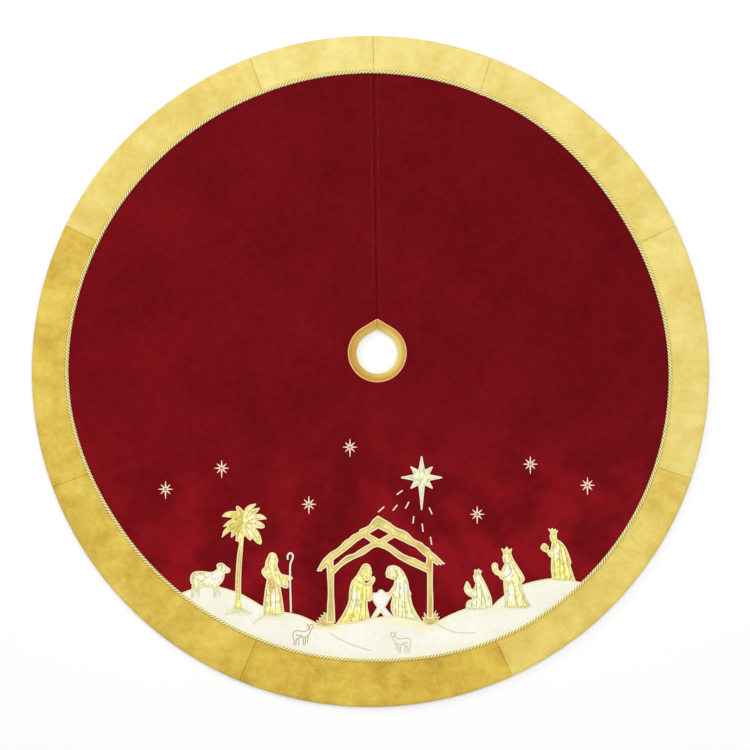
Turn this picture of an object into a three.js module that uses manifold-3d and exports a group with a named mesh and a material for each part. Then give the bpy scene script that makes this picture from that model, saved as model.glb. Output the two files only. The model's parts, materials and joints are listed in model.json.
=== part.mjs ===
// A round velvet tree skirt, lined and wadded, with a slit to its pointed neck hole, a gold border of
// nine panels, a rope trim in the border seam, and a picture of appliquéd cloth. Millimetres, +Z up,
// lying flat on the floor. The slit points to +Y and the picture stands along -Y. The origin is the
// centre of the disc, on the floor.
import * as THREE from 'three';
import { mergeVertices } from 'three/addons/utils/BufferGeometryUtils.js';
import Module from 'manifold-3d';

const wasm = await Module();
wasm.setup();

// ---------------------------------------------------------------- driving dimensions
// Half the skirt's size from side to side, and from the slit to the front: a 1.22 m skirt, sewn a
// little oval.
const SKIRT_ACROSS = 611;
const SKIRT_ALONG = 605.5;
// The border's width from the middle of the rope to the rim, at the twelve hours of a clock face with
// the slit at twelve. It is sewn by hand, and it is widest in front.
const BORDER_WIDTHS = [65, 67, 76, 70.5, 67.5, 71, 85, 82.5, 76.5, 63.5, 65.5, 66.5];
const ROPE_DIAMETER = 5;
const NECK_RADIUS = 38.3; // the round part of the hole
const NECK_POINT = 1.165; // how far the hole's point stands out, in hole radii
const NECK_CENTRE = [12.3, 33.6];
const BINDING_WIDTH = 14; // of the gold strip round the neck, on each face
const SLIT_RIM_X = 4.5; // where the slit meets the rim
const SLIT_GAP = 1.2;
const FACING_WIDTH = 24;
const HEM_LIP = 2.6; // the border's edge that turns down over the wadding

const LINING_THICKNESS = 0.8;
const WADDING_THICKNESS = 2;
const VELVET_THICKNESS = 1.5;
const BORDER_THICKNESS = 1.8;
const BINDING_THICKNESS = 1;
const GROUND_THICKNESS = 0.8;
const FIGURE_THICKNESS = 0.8;
const CROOK_THICKNESS = 1;
const STAR_THICKNESS = 0.9;
const LAMB_THICKNESS = 0.6;
const CROOK_WIDTH = 3;
const RAY_WIDTH = 2.6;
const CLEARANCE = 0.3; // between any two pieces that touch

// Border seams, in degrees from the slit. The first pair lies on the fold lines of the two back flaps.
const FOLD_SEAM = 21;
const LEFT_SEAMS = [64.5, 110, 157];
const RIGHT_SEAMS = [64.5, 108.5, 155];

// The picture is drawn for a field of this width, with its front edge this far from the middle of the
// skirt. It is graded with the field.
const PICTURE_FIELD_WIDTH = 1088;
const PICTURE_FIELD_FRONT = 520.5;

const DISC_SEGMENTS = 96;
const ROPE_SIDES = 8;
const CURVE_STEPS = 2; // straight steps between two drawn points of an outline

// ---------------------------------------------------------------- sizes worked out from them
const WADDING_Z = LINING_THICKNESS + CLEARANCE;
const VELVET_Z = WADDING_Z + WADDING_THICKNESS + CLEARANCE;
const PICTURE_Z = VELVET_Z + VELVET_THICKNESS + CLEARANCE;
const GROUND_TOP = PICTURE_Z + GROUND_THICKNESS;
const FIGURE_TOP = GROUND_TOP + CLEARANCE + FIGURE_THICKNESS;
const BORDER_TOP = VELVET_Z + BORDER_THICKNESS;
const BINDING_TOP = PICTURE_Z + BINDING_THICKNESS;
const BINDING_OUTER = NECK_RADIUS + BINDING_WIDTH;
const BEYOND = 2 * SKIRT_ACROSS; // a length that reaches out past the rim, for cutting
const WHOLE_HEIGHT = [-ROPE_DIAMETER, FIGURE_TOP + ROPE_DIAMETER]; // a height that runs out past every layer
const SAME_SPOT = 1e-4; // corners closer than this are one corner

const radians = (degrees) => (degrees * Math.PI) / 180;

// Directions are given in degrees clockwise from the slit.
const towards = (degrees) => new THREE.Vector2(Math.sin(radians(degrees)), Math.cos(radians(degrees)));

function rimRadius(degrees) {
  const heading = towards(degrees);
  return 1 / Math.hypot(heading.x / SKIRT_ACROSS, heading.y / SKIRT_ALONG);
}

const widthSpots = BORDER_WIDTHS.map((width) => new THREE.Vector3(width, 0, 0));
const widthCurve = new THREE.CatmullRomCurve3(widthSpots, true);
const ropeRadius = (degrees) => rimRadius(degrees) - widthCurve.getPoint(((degrees + 360) % 360) / 360).x;

// The cloth on each side of the rope meets its round section below the middle, at the cloth's top face.
const ropeHalf = ROPE_DIAMETER / 2;
const belowMiddle = Math.max(0, ropeHalf - BORDER_THICKNESS);
const ropeRoom = Math.sqrt(ropeHalf ** 2 - belowMiddle ** 2) + CLEARANCE;

const grade = new THREE.Vector2(
  (ropeRadius(90) + ropeRadius(270)) / PICTURE_FIELD_WIDTH,
  ropeRadius(180) / PICTURE_FIELD_FRONT,
);
const graded = ([x, y]) => new THREE.Vector2(x, y).multiply(grade);

// ---------------------------------------------------------------- cloth colours
const cloth = (color, roughness, metalness = 0) =>
  new THREE.MeshStandardMaterial({ color, roughness, metalness });
const redVelvet = cloth(0x7a0d16, 0.85);
const goldVelvet = cloth(0xdcbc5c, 0.8);
const goldSatin = cloth(0xc8a030, 0.4, 0.2);
const ropeThread = cloth(0xe6d98f, 0.6);
const ivorySatin = cloth(0xf3eede, 0.5);
const creamLame = cloth(0xece6a8, 0.45, 0.1);
const goldLame = cloth(0xdcc56a, 0.45, 0.1);
const whiteSatin = cloth(0xf4f2e6, 0.5);
const liningCotton = cloth(0xe9dfc2, 0.9);
const whiteWadding = cloth(0xf2f0ea, 0.95);

// ---------------------------------------------------------------- solids
function solidOf(geometry) {
  geometry.deleteAttribute('normal');
  geometry.deleteAttribute('uv');
  const merged = mergeVertices(geometry, SAME_SPOT);
  const mesh = new wasm.Mesh({
    numProp: 3,
    vertProperties: Float32Array.from(merged.attributes.position.array),
    triVerts: Uint32Array.from(merged.index.array),
  });
  return new wasm.Manifold(mesh);
}

function geometryOf(solid) {
  const mesh = solid.getMesh();
  const geometry = new THREE.BufferGeometry();
  geometry.setAttribute('position', new THREE.BufferAttribute(Float32Array.from(mesh.vertProperties), 3));
  geometry.setIndex(new THREE.BufferAttribute(Uint32Array.from(mesh.triVerts), 1));
  geometry.computeVertexNormals();
  return geometry;
}

// An upright slab with the given outline (a list of Vector2) between two heights.
function slab(points, bottom, top, holes = []) {
  const shape = new THREE.Shape(points);
  shape.holes = holes.map((hole) => new THREE.Path(hole));
  const geometry = new THREE.ExtrudeGeometry(shape, { depth: top - bottom, bevelEnabled: false });
  geometry.translate(0, 0, bottom);
  return solidOf(geometry);
}

// A closed outline round the skirt, at a radius that depends on the direction.
function ringOutline(radiusAt) {
  const directions = Array.from({ length: DISC_SEGMENTS }, (_, i) => (-360 * i) / DISC_SEGMENTS);
  return directions.map((degrees) => towards(degrees).multiplyScalar(radiusAt(degrees)));
}

// Moves every corner of a closed outline outwards by a distance, or inwards where it is negative.
function grown(points, distance) {
  const turn = Math.sign(THREE.ShapeUtils.area(points));
  const sharpest = 3; // a spike moves at most this many times the distance
  return points.map((point, i) => {
    const before = points[(i + points.length - 1) % points.length];
    const after = points[(i + 1) % points.length];
    const into = point.clone().sub(before).normalize();
    const out = after.clone().sub(point).normalize();
    const sum = new THREE.Vector2(into.y + out.y, -into.x - out.x);
    const length = Math.max(sum.length(), SAME_SPOT);
    const stretch = Math.min(2 / length ** 2, sharpest / length);
    return point.clone().addScaledVector(sum, stretch * distance * turn);
  });
}

// A drawn outline: a start point, then runs. A run of one point is a straight line to it, a longer run
// is a smooth curve through its points.
function drawn(start, ...runs) {
  const shape = new THREE.Shape();
  shape.moveTo(graded(start).x, graded(start).y);
  for (const run of runs) {
    if (run.length === 1) shape.lineTo(graded(run[0]).x, graded(run[0]).y);
    else shape.splineThru(run.map(graded));
  }
  const points = shape.getPoints(CURVE_STEPS);
  const last = points[points.length - 1];
  if (last.distanceTo(points[0]) < SAME_SPOT) points.pop();
  return points;
}

// ---------------------------------------------------------------- neck, slit and flaps
// The neck outline: round at the front, with straight sides that run to a point at the slit.
function neckOutline(radius) {
  const [x, y] = NECK_CENTRE;
  const side = Math.acos(1 / NECK_POINT); // how far from the top the straight sides start
  const round = new THREE.EllipseCurve(x, y, radius, radius, Math.PI / 2 + side, Math.PI * 2.5 - side);
  return [new THREE.Vector2(x, y + radius * NECK_POINT), ...round.getPoints(DISC_SEGMENTS / 2)];
}

const slitRim = new THREE.Vector2(SLIT_RIM_X, SKIRT_ALONG);
const slitNeck = new THREE.Vector2(NECK_CENTRE[0], NECK_CENTRE[1]);
const slitDirection = slitRim.clone().sub(slitNeck).normalize();

// side is -1 for the left flap and +1 for the right one. The fold runs straight from the side of the
// neck hole, across the binding, to the border seam at the rim.
function foldLine(side) {
  const neck = new THREE.Vector2(NECK_CENTRE[0] + side * NECK_RADIUS, NECK_CENTRE[1]);
  const rim = towards(side * FOLD_SEAM).multiplyScalar(rimRadius(side * FOLD_SEAM));
  const direction = rim.clone().sub(neck).normalize();
  const across = new THREE.Vector2(-side * direction.y, side * direction.x); // from the fold towards the slit
  return { neck, rim, direction, across };
}

// The plan of one flap: the fold, the slit, and a line between them inside the neck hole.
function flapOutline(side) {
  const fold = foldLine(side);
  const toSide = new THREE.Vector2(side * slitDirection.y, -side * slitDirection.x);
  const slitHalf = toSide.multiplyScalar(SLIT_GAP / 2);
  const reach = Math.abs(slitNeck.x - fold.neck.x) / Math.abs(fold.across.x);
  const meeting = fold.neck.clone().addScaledVector(fold.across, reach);
  const slitFar = slitNeck.clone().addScaledVector(slitDirection, BEYOND).add(slitHalf);
  const foldFar = fold.neck.clone().addScaledVector(fold.direction, BEYOND);
  return [fold.neck, foldFar, slitFar, meeting.add(slitHalf)];
}

function flapCutter(side, extra) {
  return slab(grown(flapOutline(side), extra), ...WHOLE_HEIGHT);
}

// A strip along the slit, from the middle of the neck hole out past the rim, of one width on each side.
function slitStrip(width) {
  const across = new THREE.Vector2(slitDirection.y, -slitDirection.x).multiplyScalar(width);
  const far = slitNeck.clone().addScaledVector(slitDirection, BEYOND);
  const near = [slitNeck.clone().sub(across), slitNeck.clone().add(across)];
  return slab([...near, far.clone().add(across), far.clone().sub(across)], ...WHOLE_HEIGHT);
}

// Half a clearance stays free on each side of the fold. The slit edges are where the flap's plan has them.
const flapKeeper = { [-1]: flapCutter(-1, -CLEARANCE / 2), [1]: flapCutter(1, -CLEARANCE / 2) };
const flapRoom = flapCutter(-1, CLEARANCE / 2).add(flapCutter(1, CLEARANCE / 2));
const bothFlaps = flapRoom.add(slitStrip(SLIT_GAP));

const mainPart = (solid) => solid.subtract(bothFlaps);
const flapPart = (solid, side) => solid.intersect(flapKeeper[side]);

// ---------------------------------------------------------------- the sewn body
const group = new THREE.Group();
function add(name, solid, material) {
  const mesh = new THREE.Mesh(geometryOf(solid), material);
  mesh.name = name;
  group.add(mesh);
}

const SIDES = [
  ['left', -1],
  ['right', 1],
];

// Splits a whole layer into the part that lies still and the two back flaps.
function addInThree(name, solid, material) {
  add(`${name}_main`, mainPart(solid), material);
  for (const [word, side] of SIDES) add(`${name}_flap_${word}`, flapPart(solid, side), material);
}

const wrapped = NECK_RADIUS + BINDING_THICKNESS + CLEARANCE; // the neck edge of the layers inside the binding
const rimOutline = ringOutline(rimRadius);
const insideHem = ringOutline((degrees) => rimRadius(degrees) - HEM_LIP);
const waddingOutline = ringOutline((degrees) => rimRadius(degrees) - HEM_LIP - CLEARANCE);
const fieldOutline = ringOutline((degrees) => ropeRadius(degrees) - ropeRoom);
const borderInner = ringOutline((degrees) => ropeRadius(degrees) + ropeRoom);

const lining = slab(rimOutline, 0, LINING_THICKNESS, [neckOutline(BINDING_OUTER + CLEARANCE)]);
const wadding = slab(waddingOutline, WADDING_Z, WADDING_Z + WADDING_THICKNESS, [neckOutline(wrapped)]);
const velvet = slab(fieldOutline, VELVET_Z, VELVET_Z + VELVET_THICKNESS, [neckOutline(wrapped)]);

addInThree('lining', lining, liningCotton);
addInThree('interlining', wadding.subtract(slitStrip(FACING_WIDTH + CLEARANCE)), whiteWadding);
addInThree('velvet', velvet, redVelvet);
// The facings take the wadding's place along the slit.
const facing = wadding.intersect(slitStrip(FACING_WIDTH));
for (const [word, side] of SIDES) add(`slit_facing_${word}`, flapPart(facing, side), redVelvet);

// The binding is a strip folded round the neck edge: a leg under the layers, a web inside the hole, and
// a leg on top.
const bindingBlock = slab(neckOutline(BINDING_OUTER), 0, BINDING_TOP, [neckOutline(NECK_RADIUS)]);
const bindingSlot = slab(
  neckOutline(BINDING_OUTER + BINDING_WIDTH),
  LINING_THICKNESS,
  PICTURE_Z,
  [neckOutline(NECK_RADIUS + BINDING_THICKNESS)],
);
addInThree('neck_binding', bindingBlock.subtract(bindingSlot), goldSatin);

// ---------------------------------------------------------------- border and rope
const borderBlock = slab(rimOutline, WADDING_Z, BORDER_TOP, [borderInner]);
const borderRing = borderBlock.subtract(slab(insideHem, WADDING_Z - CLEARANCE, VELVET_Z));

// The wedge of the disc between two seams.
function wedge(from, to) {
  const corners = [new THREE.Vector2(0, 0)];
  for (const degrees of [from, (from + to) / 2, to]) corners.push(towards(degrees).multiplyScalar(BEYOND));
  return slab(grown(corners, -CLEARANCE / 2), ...WHOLE_HEIGHT);
}

const RIGHT_PANELS = ['border_back_right', 'border_side_right', 'border_front_right'];
const LEFT_PANELS = ['border_back_left', 'border_side_left', 'border_front_left'];
function addBorderSide(names, seams, side) {
  names.forEach((name, i) => {
    const from = side * (i === 0 ? 0 : seams[i - 1]);
    const panel = borderRing.intersect(wedge(from, side * seams[i]));
    add(name, mainPart(panel), goldVelvet);
  });
}
addBorderSide(RIGHT_PANELS, RIGHT_SEAMS, 1);
addBorderSide(LEFT_PANELS, LEFT_SEAMS, -1);
add('border_front', borderRing.intersect(wedge(RIGHT_SEAMS[2], 360 - LEFT_SEAMS[2])), goldVelvet);
for (const [word, side] of SIDES) add(`border_slit_${word}`, flapPart(borderRing, side), goldVelvet);

// The rope is a round section turned about the middle, then moved in and out to its line in the seam.
function ropeRing() {
  const base = ropeRadius(0);
  const curve = new THREE.EllipseCurve(base, VELVET_Z + ropeHalf, ropeHalf, ropeHalf);
  const section = curve.getPoints(ROPE_SIDES);
  section[ROPE_SIDES] = section[0].clone();
  const geometry = new THREE.LatheGeometry(section, DISC_SEGMENTS);
  geometry.rotateX(Math.PI / 2);
  const position = geometry.attributes.position;
  for (let i = 0; i < position.count; i++) {
    const spot = new THREE.Vector2(position.getX(i), position.getY(i));
    const degrees = THREE.MathUtils.radToDeg(Math.atan2(spot.x, spot.y));
    spot.setLength(spot.length() + ropeRadius(degrees) - base);
    position.setXY(i, spot.x, spot.y);
  }
  return solidOf(geometry);
}
addInThree('rope_trim', ropeRing(), ropeThread);

// ---------------------------------------------------------------- the snow ground
// The top edge of the hills, from left to right. It runs out past the rope, where the field cuts it off.
const HILLS = [
  [-360, -407],
  [[-325, -393], [-300, -387.5], [-273, -388], [-243, -397]],
  [[-233, -400.5], [-195, -422.5]],
  [[-157, -434]],
  [[-145, -435], [-130, -438.5], [-115, -444], [-97, -453]],
  [[-82, -458]],
  [
    [-64, -455], [-40, -452.5], [-20, -449.5], [0, -444.5], [20, -442],
    [40, -440.5], [62, -441.5], [80, -445.5], [95, -450],
  ],
  [[107, -453.5]],
  [[120, -450.5]],
  [[135, -442.5], [150, -435.5], [171, -427.5], [195, -423.5], [219, -423.5]],
  [
    [229, -413], [241, -403.5], [257, -392.5], [273, -384.5],
    [300, -377], [326, -373], [350, -374], [400, -384],
  ],
  // below the picture and back
  [[400, -700]],
  [[-360, -700]],
];
const groundOutline = drawn(...HILLS);
const groundSlab = slab(groundOutline, PICTURE_Z, GROUND_TOP);
add('snow_ground', groundSlab.intersect(slab(fieldOutline, ...WHOLE_HEIGHT)), ivorySatin);

// What a figure cuts away so that it clears the ground that it lies on.
const groundRoom = slab(grown(groundOutline, CLEARANCE), PICTURE_Z - CLEARANCE, GROUND_TOP + CLEARANCE);

// A figure lies on the velvet, and steps up onto the ground and onto any piece sewn on before it.
function figure(outline, under = [], holes = []) {
  let solid = slab(outline, PICTURE_Z, FIGURE_TOP, holes).subtract(groundRoom);
  for (const room of under) solid = solid.subtract(room);
  return solid;
}
const roomOf = (outline, top) => slab(grown(outline, CLEARANCE), PICTURE_Z - CLEARANCE, top + CLEARANCE);

// ---------------------------------------------------------------- stable and grass
const STABLE = [
  [14, -260],
  // right slope, with its uneven thatch
  [
    [20, -264], [34, -272], [40, -277], [48, -282], [58, -286],
    [66, -290], [72, -296], [79, -302.5], [93, -309],
  ],
  [[99, -315], [105, -318.5], [109, -324], [120, -333], [134, -347]],
  [[129.5, -346.5]], [[126.5, -349.5]], [[123, -346.8]], [[120, -349.5]], [[112.5, -343]],
  // right post
  [[112, -385], [113, -412], [112.5, -444.5]],
  [[102, -444.5]],
  [[102.5, -400], [102.3, -363]],
  // underside of the crossed braces
  [[88, -356], [70, -348], [50, -337], [34, -325], [25, -320], [14, -316]],
  [[5, -318], [-12, -330], [-30, -338], [-50, -350], [-66, -366]],
  // left post
  [[-66, -400], [-64.5, -430], [-63.8, -452.5]],
  [[-78.4, -452.5]],
  [[-78, -425], [-76.6, -395], [-79.2, -351]],
  // left eave and slope
  [[-83, -355]], [[-86, -356.5]], [[-88.5, -360]], [[-97, -359.8]],
  [[-92, -350], [-85, -338.5], [-79, -332.5], [-72, -326]],
  [[-63, -321], [-55, -315], [-50, -309], [-45, -304.3], [-39, -301.5]],
  [[-34, -296], [-28, -292.5], [-22, -290], [-19, -285.3], [-12, -282]],
  [[-5, -279], [0, -274], [3, -269], [8, -264], [14, -260]],
];
const ROOF_DIAMOND = [[14, -282.5], [[-3, -292.5]], [[16, -303]], [[34, -292.5]]];
const LEFT_TRIANGLE = [
  [-12, -298.5],
  [[-25, -307], [-40, -319.5], [-67, -340]],
  [[-67, -352]],
  [[-58, -345], [-50, -337.5], [-42, -331.8], [-30, -328], [-20, -321.5], [-10, -315.5], [2, -308.7]],
];
const RIGHT_TRIANGLE = [
  [43, -299],
  [[28, -308.5]],
  [[40, -315.5], [50, -323], [60, -329.5], [70, -333.8], [80, -336.8], [90, -342], [100, -347]],
  [[101.5, -335]],
  [[95, -330], [88, -323.5], [81, -317], [70, -312], [60, -307], [43, -299]],
];
const stableOutline = drawn(...STABLE);
const stableHoles = [ROOF_DIAMOND, LEFT_TRIANGLE, RIGHT_TRIANGLE].map((hole) => drawn(...hole));
add('stable_frame', figure(stableOutline, [], stableHoles), goldLame);
const stableRoom = roomOf(stableOutline, FIGURE_TOP);

const TUFT_LEFT = [
  [-77, -437],
  [[-85, -433.5]], [[-83.5, -440]], [[-90, -438.5]], [[-87.5, -444.5]], [[-94.5, -443.5]], [[-91, -449.5]],
  [[-98.5, -448.5]], [[-94.5, -453.5]], [[-100, -455.5]],
  [[-90, -459], [-78, -460], [-66, -457.5]],
  [[-66, -445]],
];
const TUFT_RIGHT = [
  [95.5, -450],
  [[92.5, -442]], [[97.5, -444]], [[96, -433.5]], [[101.8, -441]],
  [[107, -434]],
  [[113, -438]], [[118.5, -430]], [[116.5, -438.5]], [[122.5, -435]], [[119, -443.5]], [[125.5, -441.5]],
  [[121, -447.5]], [[126, -448.5]],
  [[118, -454], [107, -457.5], [98, -455.5]],
];
for (const [word, outline] of [['left', TUFT_LEFT], ['right', TUFT_RIGHT]]) {
  add(`grass_tuft_${word}`, figure(drawn(...outline), [stableRoom]), goldLame);
}

// ---------------------------------------------------------------- palm, sheep, shepherd
const PALM = [
  [-236.5, -309],
  // fronds, from the lowest on the left round over the top
  [[-240, -306]], [[-243.5, -305.5]], [[-242, -291]],
  [[-246, -296], [-251.5, -300]],
  [[-250.5, -287]],
  [[-259, -292], [-268, -299.5]],
  [[-265, -288], [-256.5, -278.5]],
  [[-265.8, -279.8]],
  [[-258, -271], [-247, -264.5]],
  [[-256, -262.5], [-268, -261.8]],
  [[-262, -255], [-252, -252], [-241, -252]],
  [[-242.3, -244.5], [-239, -242.5], [-234, -246], [-228, -252.5]],
  [[-224, -245], [-216, -240], [-205.5, -238.3]],
  [[-209, -243], [-215, -249.5]],
  [[-208, -247], [-199.2, -245.8]],
  [[-203, -252], [-210, -258.3]],
  [[-201, -257], [-192.5, -260], [-186.8, -266]],
  [[-195, -267], [-206, -268]],
  [[-198, -271.5], [-191.5, -277], [-191, -281.5]],
  [[-198, -283], [-208, -281.5]],
  [[-202, -289], [-197.5, -299], [-196, -308], [-198, -311.8]],
  [[-202.5, -310.5], [-207, -307.5], [-213, -300.5]],
  [[-216, -305.5]],
  [[-221, -301.5], [-226.5, -295]],
  // trunk, down its right side, round the flared foot and up again
  [[-228.5, -300]],
  [[-230.5, -325], [-232.8, -360], [-233.5, -400], [-232.5, -418], [-227.5, -430]],
  [[-235, -429]], [[-240.5, -434]], [[-242.5, -429]], [[-250, -431]],
  [[-245, -418], [-243.8, -400], [-243, -370], [-240.5, -335], [-236.5, -309]],
];

const SHEEP = [
  [-270, -345],
  [[-266, -346], [-258, -352.5], [-253.3, -356], [-253.5, -361], [-258, -363.7], [-262.8, -363.2]],
  [[-263, -367], [-264.5, -374], [-268, -380.5], [-273.2, -385.5]],
  [[-270.5, -396], [-269.5, -405]],
  [[-273, -405]], [[-276.5, -394.5]], [[-279, -406.5]], [[-282.5, -406.5]],
  [[-284, -396], [-285.5, -387.5]],
  [[-296, -388.5], [-306.5, -387.5]],
  [[-308.5, -405.5]], [[-311.7, -405.5]], [[-314.5, -394.5]], [[-320.3, -407.5]], [[-323.8, -407.5]],
  [
    [-323.5, -397], [-321.8, -386], [-324.3, -380], [-325, -373],
    [-323.5, -367], [-319.5, -362.3], [-312, -360.2],
  ],
  [
    [-300, -360.4], [-288, -361.8], [-281, -359.5], [-276, -355],
    [-277.6, -350], [-275, -346.5], [-270, -345],
  ],
];

// The profile of a head, drawn plainly: brow, nose, mouth and chin at thirds of its height.
// It runs down from the brow at (x, y), facing +1 right or -1 left, and keeps within a few millimetres.
function profile(x, y, height, facing) {
  const step = height / 3;
  const out = 0.16 * height * facing;
  return [
    [x, y],
    [x + 0.35 * out, y - 0.5 * step],
    [x + out, y - 1.1 * step],
    [x + 0.45 * out, y - 1.45 * step],
    [x + 0.55 * out, y - 1.9 * step],
    [x + 0.3 * out, y - 2.3 * step],
    [x + 0.1 * out, y - 3 * step],
  ];
}

const SHEPHERD = [
  [-177, -326],
  [[-172.5, -327.7], [-169.5, -331], [-168.3, -335]],
  profile(-168.3, -335, 14, 1),
  // chest, arm, hand and hanging sleeve
  [[-167, -353], [-163.5, -361], [-160, -365], [-152, -367.3], [-144, -369]],
  [[-141, -371], [-141.5, -375], [-149, -376.5]],
  [[-148, -384], [-148.5, -389.5], [-154, -390.7], [-162.5, -386.5]],
  // front of the robe, hem, back
  [[-160.5, -400], [-157.5, -420], [-155.5, -436]],
  [[-166, -440], [-178, -441], [-192.5, -439.5]],
  [[-193.3, -424], [-191, -402], [-188.5, -385], [-186.5, -375]],
  [[-191, -370.5], [-196, -363.5], [-195, -357], [-190.3, -352.5]],
  [[-189, -343], [-185.5, -334.5], [-181.5, -327.7], [-177, -326]],
];

// The crook is a line of stitching: its middle line, which becomes a strip of constant width.
const CROOK = [
  [-149, -339], [-149.6, -334], [-148, -329.5], [-144.5, -327.4],
  [-141, -329.3], [-139.6, -333.5], [-141, -338.5],
  [-143.5, -344], [-144.8, -351], [-145, -366], [-144.7, -388], [-143.9, -412], [-143.3, -433.8],
];

function strip(points, width, steps) {
  const line = new THREE.SplineCurve(points.map(graded));
  const places = Array.from({ length: steps + 1 }, (_, i) => i / steps);
  const edge = (side) => places.map((t) => {
    const tangent = line.getTangent(t);
    const across = new THREE.Vector2(-tangent.y, tangent.x);
    return line.getPoint(t).addScaledVector(across, (side * width) / 2);
  });
  return [...edge(1), ...edge(-1).reverse()];
}
const crookOutline = strip(CROOK, CROOK_WIDTH, 2 * CROOK.length);
const CROOK_TOP = PICTURE_Z + CROOK_THICKNESS;

add('palm_tree', figure(drawn(...PALM)), creamLame);
add('sheep', figure(drawn(...SHEEP)), creamLame);
add('shepherd_crook', slab(crookOutline, PICTURE_Z, CROOK_TOP).subtract(groundRoom), whiteSatin);
add('shepherd', figure(drawn(...SHEPHERD), [roomOf(crookOutline, CROOK_TOP)]), creamLame);

// ---------------------------------------------------------------- the family
const MAN = [
  [-7, -346],
  [[-2.5, -348.3], [0.3, -352.5], [0.8, -357]],
  profile(0.8, -357, 14, 1),
  // beard, chest and praying hands
  [[-2.8, -375.5], [-6.5, -377.5], [-9.5, -376]],
  [[-11, -380.5]],
  [[-7.5, -382]],
  [[-3, -378.5], [1, -371.8], [5.5, -369.3], [8.5, -373], [7, -379.5], [2.6, -385.5]],
  [[3, -395], [2.2, -404], [2.2, -411], [-1.5, -414.5], [-5.6, -412.5]],
  // knee, hem and back
  [[-5.3, -425], [-3, -436], [-1.5, -446]],
  [[-20, -451.5], [-42, -454.5], [-62, -455]],
  [[-52, -441], [-43, -424], [-39, -411], [-38.3, -398], [-35, -381], [-29.5, -373], [-24.5, -367]],
  [[-20, -359], [-16.5, -352], [-12.5, -347.6], [-7, -346]],
];
const WOMAN = [
  [39, -349.5],
  [[33.5, -351], [29.6, -355], [28.8, -359]],
  profile(28.8, -359, 12, -1),
  [[33.5, -372.5], [38.5, -374.7], [43.6, -374.5]],
  // sleeve and hand over the manger
  [[42, -384], [37.5, -391.5], [33.5, -397.3]],
  [[30.5, -399.5], [33, -403], [39.8, -406]],
  [[37.5, -416], [36.8, -428], [41.5, -441]],
  [[56, -444], [76, -448], [94, -452]],
  [[85, -439], [76.5, -422.5], [72.3, -405]],
  [[73.2, -399.5]],
  [[69.5, -391], [67.5, -379], [62, -365.5], [54, -355], [46, -350.3], [39, -349.5]],
];
const MANGER = [
  [4.3, -398],
  [[8, -399], [12.5, -398]],
  [[15, -394.5], [19, -392.8], [23.5, -394.6], [26.5, -398.5]],
  [[30.5, -397.8], [34, -399.5]],
  [[37.5, -405.5]],
  [[33, -414]], [[26.5, -425.2]], [[41, -441.8]], [[35, -444.5]], [[24.5, -442]],
  [[18.3, -434.2]],
  [[11.3, -442]], [[5, -445.5]], [[-0.3, -445.5]],
  [[11.6, -425.5]], [[3.2, -410.5]],
];
const manOutline = drawn(...MAN);
const womanOutline = drawn(...WOMAN);
add('kneeling_man', figure(manOutline), creamLame);
add('kneeling_woman', figure(womanOutline), creamLame);
const familyRooms = [roomOf(manOutline, FIGURE_TOP), roomOf(womanOutline, FIGURE_TOP)];
add('manger', figure(drawn(...MANGER), familyRooms), whiteSatin);

// ---------------------------------------------------------------- the three kings
const KING_KNEELING = [
  // crown
  [187, -363],
  [[187.5, -355.8]], [[191.5, -359]], [[195, -355.3]], [[197.5, -359]], [[201, -358]], [[198.6, -366]],
  // back and hem
  [[206, -380], [213.5, -396], [218.5, -411], [219.2, -424]],
  [[206, -428.5], [188, -429.5], [172, -428]],
  // knee, gift and arms
  [[172.5, -419], [176.5, -413], [183.5, -411]],
  [[183.5, -407.3]],
  [[178.5, -405.3], [171.5, -399.5], [168.6, -392], [171, -383.5], [174, -378], [178.5, -383.5], [182, -392]],
  [[185, -392.5], [188.3, -387], [189.5, -380]],
  // beard, then the face up to the crown
  [[186.8, -378.3]],
  profile(187, -365, 12.5, -1).reverse(),
];
const KING_BEARING = [
  [238.8, -326],
  [[236, -318.8]], [[241, -322.3]], [[245.5, -315.3]], [[250, -321.8]], [[255, -318.8]], [[253.6, -328.5]],
  [[258, -339], [266, -352], [274.5, -365.5], [277.8, -373.5], [275.5, -379], [272, -382]],
  [[275.5, -395], [283, -411.5], [292, -423.5]],
  [[280, -426.5], [262, -426], [241, -425.5]],
  [[242, -410], [240.5, -392], [239.3, -375.5]],
  [[234.5, -374], [231, -368.3]],
  [[225, -365.5], [219.5, -357.5], [219, -348], [225, -344.5], [229.5, -348]],
  [[231, -357.5], [236, -360.5]],
  [[238.7, -353], [242.8, -345.8]],
  [[240.3, -344]],
  profile(239.6, -330, 13, -1).reverse(),
];
const KING_STANDING = [
  [324, -290],
  [[321.3, -283.3]], [[324.8, -286.8]], [[327.6, -281.3]],
  [[330.6, -286.3]], [[333.6, -282.6]], [[334.6, -288]],
  [[338, -286.2]], [[335.6, -294]],
  [[336, -302.5]],
  [[345, -308.5], [353, -319.5], [359, -334.5], [361.7, -344.5], [360, -349]],
  [[364, -361.5], [370, -379]],
  [[356, -377.5], [342, -377], [328, -376]],
  [[325.5, -357], [326.3, -336.5]],
  [[321.5, -332.5], [318, -326.5]],
  [[311.5, -323.5], [306.7, -317.5], [313, -309.3], [320.8, -316], [320.3, -321.5]],
  [[324, -322.3], [325.8, -316], [326.8, -307]],
  [[324.6, -305]],
  profile(324.6, -292.5, 12, -1).reverse(),
];
add('king_kneeling', figure(drawn(...KING_KNEELING)), creamLame);
add('king_bearing', figure(drawn(...KING_BEARING)), creamLame);
add('king_standing', figure(drawn(...KING_STANDING)), creamLame);

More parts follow.
